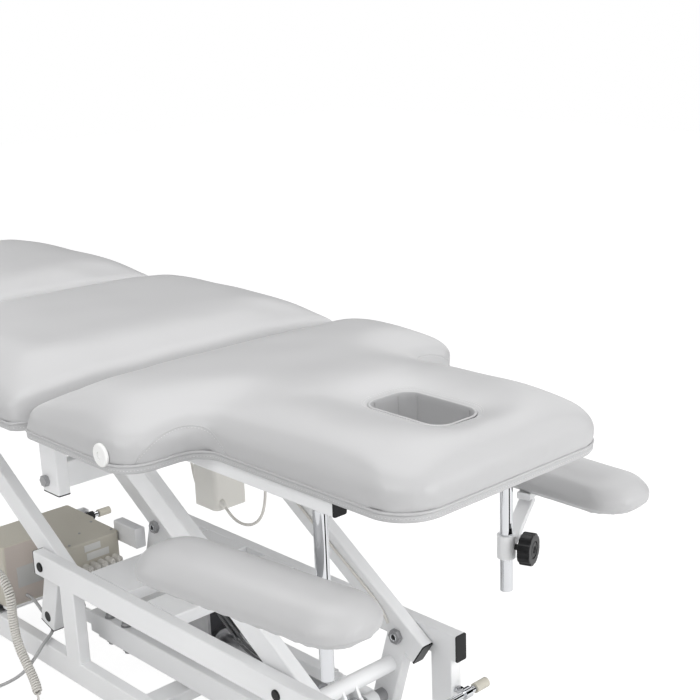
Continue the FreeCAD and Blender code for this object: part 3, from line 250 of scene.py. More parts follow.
def surface(look):
    # one Principled material with the shared grain; the two colours meet through the slow tone
    mat, tree, bsdf = newMaterial(look["name"])
    g = node(tree, "Group", node_tree=grain)
    g.inputs["Fine"].default_value = look.get("fine", 600.0)
    g.inputs["Depth"].default_value = look.get("depth", 0.05)
    g.inputs["Slow"].default_value = look.get("slow", 4.0)
    mix = node(tree, "Mix", data_type="RGBA")
    mix.inputs["A"].default_value = (*look["dark"], 1)
    mix.inputs["B"].default_value = (*look["light"], 1)
    tree.links.new(g.outputs["Tone"], mix.inputs["Factor"])
    tree.links.new(mix.outputs["Result"], bsdf.inputs["Base Color"])
    tree.links.new(g.outputs["Normal"], bsdf.inputs["Normal"])
    bsdf.inputs["Roughness"].default_value = look["rough"]
    bsdf.inputs["Metallic"].default_value = look.get("metal", 0.0)
    bsdf.inputs["Coat Weight"].default_value = look.get("coat", 0.0)
    bsdf.inputs["Coat Roughness"].default_value = look.get("coatRough", 0.15)
    bsdf.inputs["Specular IOR Level"].default_value = look.get("spec", 0.5)
    return mat


looks = dict(
    cover=dict(name="whiteCover", dark=(0.465, 0.465, 0.47), light=(0.505, 0.505, 0.51), rough=0.40,
               fine=1400.0, depth=0.10, slow=3.0, spec=0.42),
    # the lining colour is the white cover made darker: painted shade on the wall inside the head cushion's
    # hole
    paintedShadeLining=dict(name="paintedShadeLiningCover", dark=(0.34, 0.34, 0.345), light=(0.39, 0.39, 0.395), rough=0.5,
                fine=1400.0, depth=0.10, slow=3.0, spec=0.3),
    thread=dict(name="thread", dark=(0.66, 0.66, 0.66), light=(0.74, 0.74, 0.74), rough=0.7),
    paint=dict(name="whitePaint", dark=(0.84, 0.845, 0.855), light=(0.89, 0.895, 0.90), rough=0.30,
               fine=900.0, depth=0.03, coat=0.25),
    panel=dict(name="boxPanel", dark=(0.50, 0.445, 0.41), light=(0.56, 0.50, 0.46), rough=0.45, depth=0.04),
    plate=dict(name="greyPlate", dark=(0.46, 0.46, 0.45), light=(0.55, 0.55, 0.54), rough=0.35, coat=0.2),
    sticker=dict(name="palePlate", dark=(0.66, 0.66, 0.64), light=(0.74, 0.74, 0.72), rough=0.4, coat=0.2),
    black=dict(name="blackPlastic", dark=(0.004, 0.004, 0.005), light=(0.010, 0.010, 0.011), rough=0.36,
               spec=0.3),
    chrome=dict(name="chrome", dark=(0.60, 0.61, 0.63), light=(0.74, 0.75, 0.77), rough=0.07, metal=1.0,
                depth=0.0),
    zinc=dict(name="zinc", dark=(0.34, 0.34, 0.35), light=(0.50, 0.50, 0.51), rough=0.36, metal=1.0,
              slow=40.0),
    beige=dict(name="beigePlastic", dark=(0.52, 0.49, 0.42), light=(0.60, 0.575, 0.50), rough=0.5, depth=0.06),
    pale=dict(name="palePlastic", dark=(0.74, 0.725, 0.68), light=(0.82, 0.805, 0.76), rough=0.4),
    paleCable=dict(name="paleCable", dark=(0.68, 0.66, 0.62), light=(0.76, 0.74, 0.70), rough=0.45),
    disc=dict(name="whitePlastic", dark=(0.84, 0.84, 0.83), light=(0.88, 0.88, 0.87), rough=0.3),
    dark=dict(name="darkMetal", dark=(0.03, 0.03, 0.035), light=(0.06, 0.06, 0.065), rough=0.4, metal=0.6),
    board=dict(name="boardCover", dark=(0.50, 0.50, 0.50), light=(0.58, 0.58, 0.58), rough=0.8),
    rubber=dict(name="rubber", dark=(0.015, 0.015, 0.015), light=(0.03, 0.03, 0.03), rough=0.7),
    cable=dict(name="greyCable", dark=(0.42, 0.42, 0.43), light=(0.50, 0.50, 0.50), rough=0.5),
    darkCable=dict(name="darkCable", dark=(0.05, 0.05, 0.055), light=(0.09, 0.09, 0.09), rough=0.5))
mats = {k: surface(v) for k, v in looks.items()}

slotMats = dict(white_paint="paint", white_cover="cover", black_plastic="black", chrome="chrome",
                zinc="zinc", beige_plastic="beige", white_plastic="disc", dark_metal="dark", board="board",
                rubber="rubber", grey_cable="cable")
for part in frame["record"]["subparts"]:
    o = nodes[part["node"]]
    o.data.materials.clear()
    o.data.materials.append(mats[slotMats[part["material_slot"]]])
nodes["head_motor"].data.materials[0] = mats["pale"]
nodes["box_sockets"].data.materials[0] = mats["paleCable"]


def patch(name, mat, test):
    # faces of a node whose middles pass the test take another material
    data = nodes[name].data
    mid = np.empty(len(data.polygons) * 3, np.float32)
    data.polygons.foreach_get("center", mid)
    data.materials.append(mats[mat])
    index = np.where(test(mid.reshape(-1, 3)), len(data.materials) - 1, 0).astype(np.int32)
    data.polygons.foreach_set("material_index", index)


# the cap of the short upright stub is white, and the head end's clips are chrome
patch("base_caps", "paint", lambda c: (c[:, 0] > -0.160) & (c[:, 0] < -0.140) & (c[:, 2] > 0.20))
patch("end_rod_clips", "chrome", lambda c: c[:, 0] > 0)
print("materials made")


edgeLook = dict(width=0.0012, angle=35)


def softEdges(name, look):
    # small rounding on a rigid node's edges
    o = nodes[name]
    mod = o.modifiers.new("edge", "BEVEL")
    mod.width = look["width"]
    mod.segments = 2
    mod.angle_limit = math.radians(look["angle"])
    mod.harden_normals = False
    o.data.shade_smooth()
    smooth = o.modifiers.new("normals", "WEIGHTED_NORMAL")
    smooth.keep_sharp = True


def finish(obj, mat, body, covers=()):
    # look and body of a new piece, and the nodes that it stands for
    obj.data.materials.clear()
    obj.data.materials.append(mats[mat])
    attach(obj, body)
    if covers:
        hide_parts(*covers)
    return obj


# cords


def polyCurve(name, points, radius):
    # round cord through a line of points, with closed ends
    data = bpy.data.curves.new(name, "CURVE")
    data.dimensions = "3D"
    data.bevel_depth = radius
    data.bevel_resolution = 3
    data.use_fill_caps = True
    line = data.splines.new("POLY")
    line.points.add(len(points) - 1)
    flat = np.column_stack([points, np.ones(len(points))]).astype(np.float32)
    line.points.foreach_set("co", flat.ravel())
    obj = bpy.data.objects.new(name, data)
    scene.collection.objects.link(obj)
    return obj


def smoothPath(points, step):
    # quadratic B-spline with clamped ends through the middles of its runs, sampled evenly
    p = np.asarray(points, float)
    mids = (p[:-1] + p[1:]) / 2
    pieces = [np.linspace(p[0], mids[0], 6, endpoint=False)]
    t = np.linspace(0, 1, 24, endpoint=False)[:, None]
    for i in range(1, len(p) - 1):
        pieces.append((1 - t) ** 2 * mids[i - 1] + 2 * t * (1 - t) * p[i] + t ** 2 * mids[i])
    pieces.append(np.linspace(mids[-1], p[-1], 6))
    line = np.concatenate(pieces)
    s = np.concatenate([[0], np.cumsum(np.linalg.norm(np.diff(line, axis=0), axis=1))])
    at = np.linspace(0, s[-1], int(s[-1] / step))
    return np.stack([np.interp(at, s, line[:, k]) for k in range(3)], -1)


def lineLength(p):
    # sum of the runs between points
    return float(np.linalg.norm(np.diff(p, axis=0), axis=1).sum())


# straight at its first 120 and last 135 mm, a close coil between
handLook = dict(wire=0.0024, coil=0.0074, pitch=0.0054, lead=0.12, tail=0.135, wind=0.02, step=0.0006)
handRoute = np.array([(-330, -145.2, 196), (-329, -180, 196), (-306, -206, 206), (-250, -213, 230),
                      (-192, -211, 234), (-156, -212, 204), (-155, -214, 148), (-144, -216, 98),
                      (-106, -219, 64), (-72, -222, 34), (-40, -236, 11), (-24, -266, 8),
                      (-14, -300, 9), (8, -317, 12), (39.6, -318, 13)]) / 1000


def makeHandCord(look, route):
    # a circle carried round the route: its angle grows by one turn for each pitch of the way, and its
    # radius from nothing at both ends of the coil
    mid = smoothPath(route, look["step"])
    s = np.concatenate([[0], np.cumsum(np.linalg.norm(np.diff(mid, axis=0), axis=1))])
    t = np.gradient(mid, axis=0)
    t /= np.linalg.norm(t, axis=1)[:, None]
    v = np.array([1.0, 0.0, 0.0])
    ups = []
    for k in range(len(mid)):
        v = v - t[k] * (v @ t[k])
        v /= np.linalg.norm(v)
        ups.append(v)
    ups = np.array(ups)
    side = np.cross(t, ups)
    start, stop, wind = look["lead"], s[-1] - look["tail"], look["wind"]
    grow = ramp(s, start, start + wind) * (1 - ramp(s, stop - wind, stop))
    a = np.cumsum(np.gradient(s) * grow) * 2 * np.pi / look["pitch"]
    rad = look["coil"] * grow
    fine = np.linspace(0, len(mid) - 1, len(mid) * 3)
    k = np.arange(len(mid))
    pick = lambda arr: np.stack([np.interp(fine, k, arr[:, i]) for i in range(3)], -1)
    af, rf = np.interp(fine, k, a), np.interp(fine, k, rad)
    line = pick(mid) + rf[:, None] * (np.cos(af)[:, None] * pick(ups) + np.sin(af)[:, None] * pick(side))
    cord = polyCurve("handCord", line, look["wire"])
    cord.data.materials.append(mats["paleCable"])
    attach(cord, "base")
    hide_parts("hand_cord")
    print("hand cord", round(lineLength(line), 3))
    return cord


mainsLook = dict(r=0.0035, turns=4.0, coil=(-0.640, -0.430), inner=0.070, grow=0.0076, begin=60, lie=0.0037,
                 step=0.003, off=[(-0.03, 0.02, 0.006), (-0.06, -0.02, 0.0125)],
                 plug=[(-0.03, -0.06, 0.0125), (-0.004, -0.105, 0.0125), (0, -0.125, 0.015),
                       (0, -0.140, 0.019)])
mainsRoute = np.array([(-307.8, -100, 108), (-280, -100, 108), (-236, -106, 96), (-192, -114, 86.5),
                       (-160, -126, 87), (-134, -148, 91.5), (-117, -177, 86), (-117, -199, 61),
                       (-136, -214, 32), (-163, -230, 9), (-172, -266, 3.7), (-192, -322, 3.6),
                       (-252, -362, 3.6), (-360, -392, 3.6), (-450, -396, 3.7)]) / 1000


def makeMains(look, route):
    # visible run, then a flat spiral of spare length whose radius shrinks by one step a turn, then a
    # short tail over its turns to the plug
    cx, cy = look["coil"]
    turns = np.linspace(0, look["turns"] * 2 * np.pi, 400)
    ang = math.radians(look["begin"]) + turns
    rad = look["inner"] + look["grow"] * (look["turns"] * 2 * np.pi - turns) / (2 * np.pi)
    spiral = np.column_stack([cx + rad * np.cos(ang), cy + rad * np.sin(ang), np.full(len(ang), look["lie"])])
    joinIn = np.array([(spiral[0][0] + 0.05, spiral[0][1] - 0.012, look["lie"])])
    first = smoothPath(np.vstack([route, joinIn + [[0.05, -0.004, 0]], joinIn, spiral[:1]]), look["step"])
    over = np.vstack([spiral[-1] + look["off"], np.array([cx, cy, 0]) + look["plug"]])
    tail = smoothPath(np.vstack([spiral[-1:], over]), look["step"])
    line = np.vstack([first[:-1], spiral, tail[1:]])
    cord = polyCurve("mainsLead", line, look["r"])
    cord.data.materials.append(mats["cable"])
    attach(cord, "base")
    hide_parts("mains_lead", "mains_coil")
    print("mains lead", round(lineLength(line), 3))


makeHandCord(handLook, handRoute)
makeMains(mainsLook, mainsRoute)

# cushions

mm = 0.001
covers = dict(
    head=dict(node="head_cushion", body="head_section", seed=3, ends=[0.250], cloth=0.007, voxel=0.006,
              plan=[(250, -361, 25), (547, -361, 52), (547, -222, 45), (991, -222, 68), (991, 222, 68),
                    (547, 222, 45), (547, 361, 52), (250, 361, 25)],
              corners=[(250, -361), (250, 361), (991, -222), (991, 222), (560, -361), (560, 361)],
              hole=[(724, -49, 30), (884, -49, 30), (884, 49, 30), (724, 49, 30)]),
    middle=dict(node="middle_cushion", body="upper_frame", seed=5, ends=[-0.376, 0.234], cloth=0.007,
                voxel=0.007, corners=[(-376, -361), (-376, 361), (234, -361), (234, 361)],
                plan=[(-376, -361, 25), (234, -361, 25), (234, 361, 25), (-376, 361, 25)]),
    leg=dict(node="leg_cushion", body="leg_section", seed=8, ends=[-0.392], cloth=0.007, voxel=0.007,
             corners=[(-991, -361), (-991, 361), (-392, -361), (-392, 361)],
             plan=[(-991, -361, 68), (-392, -361, 25), (-392, 361, 25), (-991, 361, 68)]))
# the crown: reach and low of the steep fall, of the wide one, of the one towards the joints and round
# the hole, the drop at the corners, and the rise of the middle over the plain solid
dome = dict(reach=0.145, low=0.50, wide=0.30, wideLow=0.93, end=0.27, endLow=0.88, corner=0.24,
            spread=0.085, rise=0.019, soft=0.020, grid=0.006, holeDip=0.20, holeReach=0.036)
padDome = dict(reach=0.060, low=0.42, wide=0.07, wideLow=0.97, end=0.2, endLow=1.0, corner=0.0,
               spread=0.05, rise=0.007, soft=0.006, grid=0.004)
wall = dict(swell=0.005, reach=0.03, crease=0.0007, turnCrease=0.0012, creaseWave=0.030, creaseFall=2.6,
            drift=0.0008, driftWave=0.20)
air = dict(pressure=4.0, steps=20, quality=3, rounds=30, hold=0.002)
disc = dict(x=0.490, z=0.692, r=0.030)  # flat place behind the disc on the head cushion's side


def remeshed(name, source, size):
    # even quads over a solid's outside
    obj = bpy.data.objects.new(name, source.data.copy())
    scene.collection.objects.link(obj)
    mod = obj.modifiers.new("voxels", "REMESH")
    mod.mode = "VOXEL"
    mod.voxel_size = size
    deps = bpy.context.evaluated_depsgraph_get()
    mesh = bpy.data.meshes.new_from_object(obj.evaluated_get(deps))
    obj.modifiers.clear()
    obj.data = mesh
    return obj


def coords(obj):
    # points of a mesh as an array
    co = np.empty(len(obj.data.vertices) * 3, np.float32)
    obj.data.vertices.foreach_get("co", co)
    return co.reshape(-1, 3).astype(float)


def setCoords(obj, co):
    obj.data.vertices.foreach_set("co", co.astype(np.float32).ravel())
    obj.data.update()


def planLine(corners, step=0.004):
    # rounded plan from corners in millimetres
    return roundedPlan([(x * mm, y * mm, r * mm) for x, y, r in corners], step)


def outwards(line):
    # unit normals in plan, pointing out of a line that runs anticlockwise
    t = np.roll(line, -1, 0) - np.roll(line, 1, 0)
    t /= np.linalg.norm(t, axis=1)[:, None]
    return np.column_stack([t[:, 1], -t[:, 0]])


def insidePlan(xy, line):
    # even-odd test of points against a closed line
    a, b = line, np.roll(line, -1, 0)
    rise = b[:, 1] - a[:, 1]
    rise = np.where(np.abs(rise) < 1e-12, 1e-12, rise)
    out = np.empty(len(xy), bool)
    for s in range(0, len(xy), 4000):
        q = xy[s:s + 4000]
        spans = (a[:, 1] > q[:, 1, None]) != (b[:, 1] > q[:, 1, None])
        cut = a[:, 0] + (q[:, 1, None] - a[:, 1]) * (b[:, 0] - a[:, 0]) / rise
        out[s:s + 4000] = (spans & (q[:, 0, None] < cut)).sum(1) % 2 == 1
    return out


def fall(d, reach, low):
    # 1 in the middle, low at the edge, along a superellipse
    u = np.clip(1 - d / reach, 0, 1)
    return low + (1 - low) * np.sqrt(1 - u ** 2.2)


def smoothGrid(h, mask, sigma):
    # Gaussian mean over the points inside only
    k = np.arange(-int(3 * sigma), int(3 * sigma) + 1)
    w = np.exp(-0.5 * (k / sigma) ** 2)
    w /= w.sum()
    both = []
    for arr in (h * mask, mask.astype(float)):
        arr = np.apply_along_axis(np.convolve, 0, arr, w, mode="same")
        both.append(np.apply_along_axis(np.convolve, 1, arr, w, mode="same"))
    return both[0] / np.maximum(both[1], 1e-6)


def heightField(look, shape, line):
    # share of the foam's full height over the plan: the product of a steep fall at the edge, a slow one
    # towards it and one towards the joints, then smoothed
    step, margin = shape["grid"], 0.024
    lo, hi = line.min(0) - margin, line.max(0) + margin
    xs, ys = np.arange(lo[0], hi[0], step), np.arange(lo[1], hi[1], step)
    gx, gy = np.meshgrid(xs, ys, indexing="ij")
    q = np.column_stack([gx.ravel(), gy.ravel()])
    d = planDistance(q, line)[0]
    inside = insidePlan(q, line)
    d = np.where(inside, d, 0)
    h = fall(d, shape["reach"], shape["low"]) * fall(d, shape["wide"], shape["wideLow"])
    for x in look.get("ends", ()):
        h *= fall(np.abs(q[:, 0] - x), shape["end"], shape["endLow"])
    for x, y in look.get("corners", ()):
        far = np.hypot(q[:, 0] - x * mm, q[:, 1] - y * mm)
        h *= 1 - shape["corner"] * np.exp(-(far / shape["spread"]) ** 1.7)
    h = smoothGrid(h.reshape(gx.shape), inside.reshape(gx.shape), shape["soft"] / step)
    if look.get("hole"):
        dh = planDistance(q, planLine(look["hole"]))[0].reshape(gx.shape)
        h = h * (1 - shape["holeDip"] * np.exp(-(dh / shape["holeReach"]) ** 1.3))
    return xs, ys, h


def sample(field, xy):
    # mean of the four grid values round each point, weighted by nearness
    xs, ys, h = field
    u = np.clip((xy[:, 0] - xs[0]) / (xs[1] - xs[0]), 0, len(xs) - 1.001)
    v = np.clip((xy[:, 1] - ys[0]) / (ys[1] - ys[0]), 0, len(ys) - 1.001)
    i, j = u.astype(int), v.astype(int)
    u, v = u - i, v - j
    return ((1 - u) * (1 - v) * h[i, j] + u * (1 - v) * h[i + 1, j]
            + (1 - u) * v * h[i, j + 1] + u * v * h[i + 1, j + 1])


def padShape(co, look, shape, z0, z1, line, field):
    # heights scaled by the field; the wall swells between its foot and its shoulder, and short creases
    # fan up from the seam
    d, near, where = planDistance(co[:, :2], line)
    out = co.copy()
    s = np.clip((co[:, 2] - z0) / (z1 - z0), 0, 1)
    out[:, 2] = z0 + s * (z1 - z0 + shape["rise"]) * sample(field, co[:, :2])
    normal = outwards(line)
    step = np.linalg.norm(line[1] - line[0])
    k = np.clip((where / step).astype(int), 0, len(line) - 1)
    at = np.ones(len(co))
    for x in look.get("ends", ()):
        at *= ramp(np.abs(near[:, 0] - x), 0.001, 0.05)
    bend = np.abs((normal * np.roll(normal, -9, 0)).sum(1) - 1)
    turn = ramp(bend[k], 0.0, 0.15)
    close = np.clip(1 - d / wall["reach"], 0, 1)
    swell = look.get("swell", wall["swell"]) * np.sin(np.pi * np.clip(s * 1.05, 0, 1)) * close * at
    crease = waves(np.column_stack([where, s * 0.2]), look["seed"], wall["creaseWave"])
    crease = crease * np.exp(-s * wall["creaseFall"]) * close ** 0.5
    swell += (wall["crease"] + wall["turnCrease"] * turn) * crease * at
    flat = np.exp(-(((co[:, 0] - disc["x"]) / disc["r"]) ** 4 + ((out[:, 2] - disc["z"]) / disc["r"]) ** 4))
    if look["node"] == "head_cushion":
        swell *= 1 - flat
    out[:, :2] += normal[k] * swell[:, None]
    out[:, 2] += wall["drift"] * waves(co[:, :2], look["seed"] + 1, wall["driftWave"]) * s
    return out, s


def evened(obj, move, rounds):
    # each point's shift drawn half way to the mean of its neighbours', again and again
    edges = np.empty(len(obj.data.edges) * 2, np.int32)
    obj.data.edges.foreach_get("vertices", edges)
    a, b = edges.reshape(-1, 2).T
    count = np.bincount(np.concatenate([a, b]), minlength=len(move))[:, None]
    for _ in range(rounds):
        total = np.stack([np.bincount(a, move[b, k], len(move)) + np.bincount(b, move[a, k], len(move))
                          for k in range(3)], -1)
        move = 0.5 * move + 0.5 * total / np.maximum(count, 1)
    return move


def clothCap(new, s, look):
    # how far the cloth may move each point: little at the foot, at a joint, round the hole and the disc
    cap = look["cloth"] * ramp(s, 0.05, 0.4)
    for x in look.get("ends", ()):
        cap = cap * (0.15 + 0.85 * ramp(np.abs(new[:, 0] - x), 0.004, 0.06))
    if look.get("hole"):
        cap = cap * (0.1 + 0.9 * ramp(planDistance(new[:, :2], planLine(look["hole"]))[0], 0.006, 0.05))
        far = np.hypot(new[:, 0] - disc["x"], new[:, 2] - disc["z"])
        cap = cap * ramp(far, disc["r"] * 0.8, disc["r"] * 1.8)
    return cap


def puff(obj, cap, held):
    # cloth under inner pressure for a few steps; no point moves further than its own cap
    before = coords(obj)
    group = obj.vertex_groups.new(name="held")
    group.add(np.flatnonzero(held).tolist(), 1.0, "REPLACE")
    mod = obj.modifiers.new("cloth", "CLOTH")
    rules = mod.settings
    rules.use_pressure = True
    rules.uniform_pressure_force = air["pressure"]
    rules.effector_weights.gravity = 0
    rules.vertex_group_mass = "held"
    rules.quality = air["quality"]
    mod.point_cache.frame_start = 1
    mod.point_cache.frame_end = air["steps"]
    for f in range(air["steps"]):
        scene.frame_set(f + 1)
    deps = bpy.context.evaluated_depsgraph_get()
    mesh = bpy.data.meshes.new_from_object(obj.evaluated_get(deps))
    after = np.empty(len(mesh.vertices) * 3, np.float32)
    mesh.vertices.foreach_get("co", after)
    move = after.reshape(-1, 3) - before
    size = np.linalg.norm(move, axis=1)
    obj.modifiers.remove(mod)
    obj.vertex_groups.clear()
    scene.frame_set(1)
    move = evened(obj, move * np.minimum(1, cap / np.maximum(size, 1e-9))[:, None], air["rounds"])
    setCoords(obj, before + move * ramp(cap, 0, air["hold"])[:, None])
    print("cloth moved", round(float(np.minimum(size, cap).mean()) * 1000, 1), "mm")


def band(name, line, profile, mat, body, slotName):
    # a closed profile of (out, z) carried round a closed plan line
    n = outwards(line)
    prof = np.array(profile)
    verts = np.empty((len(line), len(prof), 3))
    verts[:, :, :2] = line[:, None] + n[:, None] * prof[None, :, 0, None]
    verts[:, :, 2] = prof[None, :, 1]
    obj = linkMesh(name, verts.reshape(-1, 3), gridFaces(len(line), len(prof), wrapRows=True)[:, ::-1])
    return finish(obj, mat, body)


def stitches(name, points, normals, body, pitch=0.0052, length=0.0034, thick=0.00045):
    # short thread runs laid along a line: each is a spindle of four points round its middle and two tips
    step = np.concatenate([[0], np.cumsum(np.linalg.norm(np.diff(points, axis=0), axis=1))])
    at = np.arange(pitch / 2, step[-1] - pitch / 2, pitch)
    mid = np.stack([np.interp(at, step, points[:, k]) for k in range(3)], -1)
    out = np.stack([np.interp(at, step, normals[:, k]) for k in range(3)], -1)
    out /= np.linalg.norm(out, axis=1)[:, None]
    run = np.stack([np.interp(at + 0.001, step, points[:, k]) for k in range(3)], -1) - mid
    run /= np.maximum(np.linalg.norm(run, axis=1), 1e-9)[:, None]
    side = np.cross(out, run)
    tips = [mid - run * length / 2, mid + run * length / 2]
    quarters = np.linspace(0, 2 * np.pi, 4, endpoint=False)
    ring = [mid + thick * (np.cos(a) * side + np.sin(a) * out) for a in quarters]
    verts = np.stack(tips + ring, 1).reshape(-1, 3)
    base = [(0, 3, 2), (0, 4, 3), (0, 5, 4), (0, 2, 5), (1, 2, 3), (1, 3, 4), (1, 4, 5), (1, 5, 2)]
    faces = (np.arange(len(mid))[:, None, None] * 6 + np.array(base)[None]).reshape(-1, 3)
    return finish(linkMesh(name, verts, faces), "thread", body)


def onSurface(obj, points, lift):
    # the nearest place of each point on a piece, raised a little along its normal
    tree = BVHTree.FromObject(obj, bpy.context.evaluated_depsgraph_get())
    out, normals = [], []
    for q in points:
        place, normal, _, _ = tree.find_nearest(Vector(q))
        out.append(place + normal * lift)
        normals.append(normal)
    return np.array(out), np.array(normals)


def cushion(key, look, shape):
    # even quads over the solid, shaped by the height field, then puffed by the cloth
    src = nodes[look["node"]]
    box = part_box(look["node"])
    z0, z1 = box[0].z, box[1].z
    line = planLine(look["plan"])
    field = heightField(look, shape, line)
    obj = remeshed(key + "Cushion", src, look["voxel"])
    new, s = padShape(coords(obj), look, shape, z0, z1, line, field)
    setCoords(obj, new)
    obj.data.shade_smooth()
    puff(obj, clothCap(new, s, look), s < 0.05)
    even = obj.modifiers.new("even", "SMOOTH")
    even.factor = 0.5
    even.iterations = 4
    fine = obj.modifiers.new("fine", "SUBSURF")
    fine.levels = fine.render_levels = 1
    finish(obj, "cover", look["body"], [look["node"]])
    return obj, line, field, z0, z1


# opening of the head cushion: (out, up from its top edge), where None is the lining's foot
holeLook = dict(foot=0.011, rows=(0.0085, 0.0125), seam=0.0008,
                rim=[(0.0040, -0.0006), (0.002, 0.0006), (-0.0002, 0.0004), (-0.0014, -0.0012),
                     (-0.0022, -0.010), (-0.0024, -0.035), (-0.0020, None), (0.0006, None),
                     (0.0006, -0.030), (0.0010, -0.004)],
                seams=[(724, -25), (724, 25), (884, -25), (884, 25), (748, -49), (748, 49), (860, -49),
                       (860, 49)])
arcLook = dict(start=(0.541, 0.336), stop=(0.612, 0.222), foot=0.004, rise=0.042, groove=0.0009, count=60)


def holeSeams(obj, look, field, z0, z1):
    # a rolled rim and a lining down the wall, with stitched rows round it
    hole = planLine(look["hole"], 0.003)
    n = outwards(hole)
    top = z0 + (z1 - z0 + dome["rise"]) * sample(field, hole + n * 0.004)
    prof = holeLook["rim"]
    verts = np.empty((len(hole), len(prof), 3))
    for k, (out, drop) in enumerate(prof):
        verts[:, k, :2] = hole + n * out
        verts[:, k, 2] = z0 - holeLook["foot"] if drop is None else top + drop
    faces = gridFaces(len(hole), len(prof), wrapRows=True)[:, ::-1]
    rim = linkMesh("holeLining", verts.reshape(-1, 3), faces)
    finish(rim, "paintedShadeLining", "head_section")
    # the rim's top two rows keep the cover; the wall and foot below take the darker lining colour, painted
    # shade inside the hole
    rim.data.materials.append(mats["cover"])
    index = np.zeros((len(hole), len(prof)), np.int32)
    index[:, [0, 1]] = 1
    rim.data.polygons.foreach_set("material_index", index.ravel())
    for row, out in enumerate(holeLook["rows"]):
        ring = np.column_stack([hole + n * out, top + 0.004])
        ring = np.vstack([ring, ring[:1]])
        place, normal = onSurface(obj, ring, 0.0002)
        stitches("rimStitch%d" % row, place, normal, "head_section")
    for k, (x, y) in enumerate(holeLook["seams"]):
        i = int(np.linalg.norm(hole - np.array([x * mm, y * mm]), axis=1).argmin())
        a = hole[i] - n[i] * 0.0026
        down = [(a[0], a[1], z) for z in (top[i] - 0.004, top[i] - 0.03, z0 - 0.008)]
        seam = sweep(down, holeLook["seam"], "liningSeam%d" % k, sides=8)
        # the seams down the hole's wall take the same painted shade
        finish(seam, "paintedShadeLining", "head_section")


def arcSeams(obj, line, z0):
    # sewn arc on the inward curve of each long side, as high as a flattened half sine over its foot
    for side in (-1, 1):
        ends = [int(np.linalg.norm(line - np.array([x, side * y]), axis=1).argmin())
                for x, y in (arcLook["start"], arcLook["stop"])]
        lo, hi = min(ends), max(ends)
        t = np.linspace(0, 1, arcLook["count"])
        at = lo + (hi - lo) * t
        plan = np.stack([np.interp(at, np.arange(len(line)), line[:, k]) for k in (0, 1)], -1)
        arc = np.column_stack([plan, z0 + arcLook["foot"] + arcLook["rise"] * np.sin(np.pi * t) ** 0.55])
        place = onSurface(obj, arc, -0.0002)[0]
        groove = sweep(place, arcLook["groove"], "arcSeam%d" % (side > 0), sides=8)
        finish(groove, "cover", "head_section")
        place, normal = onSurface(obj, arc + np.array([0, 0, -0.004]), 0.0002)
        stitches("arcStitch%d" % (side > 0), place, normal, "head_section")


# piping and board edge: (out, up) from the foot of the cushion's wall
trimLook = dict(pipe=0.0023, pipeOut=0.0004, pipeUp=0.0016, back=0.0042, rowOut=0.0014, rowUp=-0.0055,
                edge=[(-0.016, 0.0004), (-0.001, 0.0012), (0.0, -0.0008), (0.0012, -0.003), (0.0010, -0.009),
                      (-0.0005, -0.0112), (-0.0026, -0.0116), (-0.0027, -0.0002)])


def trim(key, look, line, z0):
    # piping at the foot of the wall, the covered edge of the board below it and a stitched row; all keep
    # back along the joints, where the neighbour comes close when a section tilts
    back = np.zeros(len(line))
    for x in look["ends"]:
        back = np.maximum(back, 1 - ramp(np.abs(line[:, 0] - x), 0.001, 0.025))
    line = line - outwards(line) * (trimLook["back"] * back)[:, None]
    n, ones = outwards(line), np.ones(len(line))
    seam = np.column_stack([line + n * trimLook["pipeOut"], ones * (z0 + trimLook["pipeUp"])])
    pipe = sweep(seam, trimLook["pipe"], key + "Piping", closed=True)
    finish(pipe, "cover", look["body"])
    edge = [(out, z0 + up) for out, up in trimLook["edge"]]
    band(key + "Edge", line, edge, "cover", look["body"], "white_cover")
    row = np.column_stack([line + n * trimLook["rowOut"], ones * (z0 + trimLook["rowUp"])])
    out = np.column_stack([n, np.zeros(len(line))])
    stitches(key + "Stitch", np.vstack([row, row[:1]]), np.vstack([out, out[:1]]), look["body"])
    return line


for key, look in covers.items():
    obj, line, field, z0, z1 = cushion(key, look, dome)
    line = trim(key, look, line, z0)
    if key == "head":
        holeSeams(obj, look, field, z0, z1)
        arcSeams(obj, line, z0)
    print("cushion", key)

# armrest pads where they stand, near one first
padLook = dict(x=0.7955 - 0.033, post=0.2025, out=(0.100, 0.127), turn=(7.0, 0.0), long=0.2125, wide=0.066,
               r=0.0607, swell=0.0025, cloth=0.003, voxel=0.004, seed=11)


def padPlan(k, look):
    # a pad's corners about its middle, turned and moved to its post
    side = (-1, 1)[k]
    turn = math.radians(look["turn"][k])
    centre = np.array([look["x"], side * (look["post"] + look["out"][k])])
    a, b, r = look["long"], look["wide"], look["r"]
    c, s = math.cos(turn), math.sin(turn)
    corners = [(-a, -b), (a, -b), (a, b), (-a, b)]
    return [((centre[0] + x * c - y * s) / mm, (centre[1] + x * s + y * c) / mm, r / mm) for x, y in corners]


for k, name in enumerate(("near", "far")):
    look = dict(padLook, node="rest_pad_" + name, body=name + "_rest", plan=padPlan(k, padLook),
                seed=padLook["seed"] + k)
    cushion(name + "Pad", look, padDome)
print("cushions made")

for name in ("side_frames", "base_crossbars", "shelf_tray", "front_crank", "rear_crank", "link_tubes",
             "upper_frame", "head_frame", "leg_frame", "control_box", "lift_motor", "head_motor",
             "hand_control", "rest_arm_near", "rest_arm_far"):
    softEdges(name, edgeLook)

# small pieces


def block(name, low, high, radius, mat, body):
    # box with rounded edges between two corners, in millimetres
    bm = bmesh.new()
    bmesh.ops.create_cube(bm, size=1.0)
    lo, hi = np.array(low) * mm, np.array(high) * mm
    for v in bm.verts:
        v.co = Vector((lo + hi) / 2 + np.array(v.co) * (hi - lo))
    bmesh.ops.bevel(bm, geom=bm.edges[:], offset=radius * mm, segments=3, profile=0.5, affect="EDGES")
    mesh = bpy.data.meshes.new(name)
    bm.to_mesh(mesh)
    bm.free()
    mesh.shade_smooth()
    obj = bpy.data.objects.new(name, mesh)
    scene.collection.objects.link(obj)
    return finish(obj, mat, body)


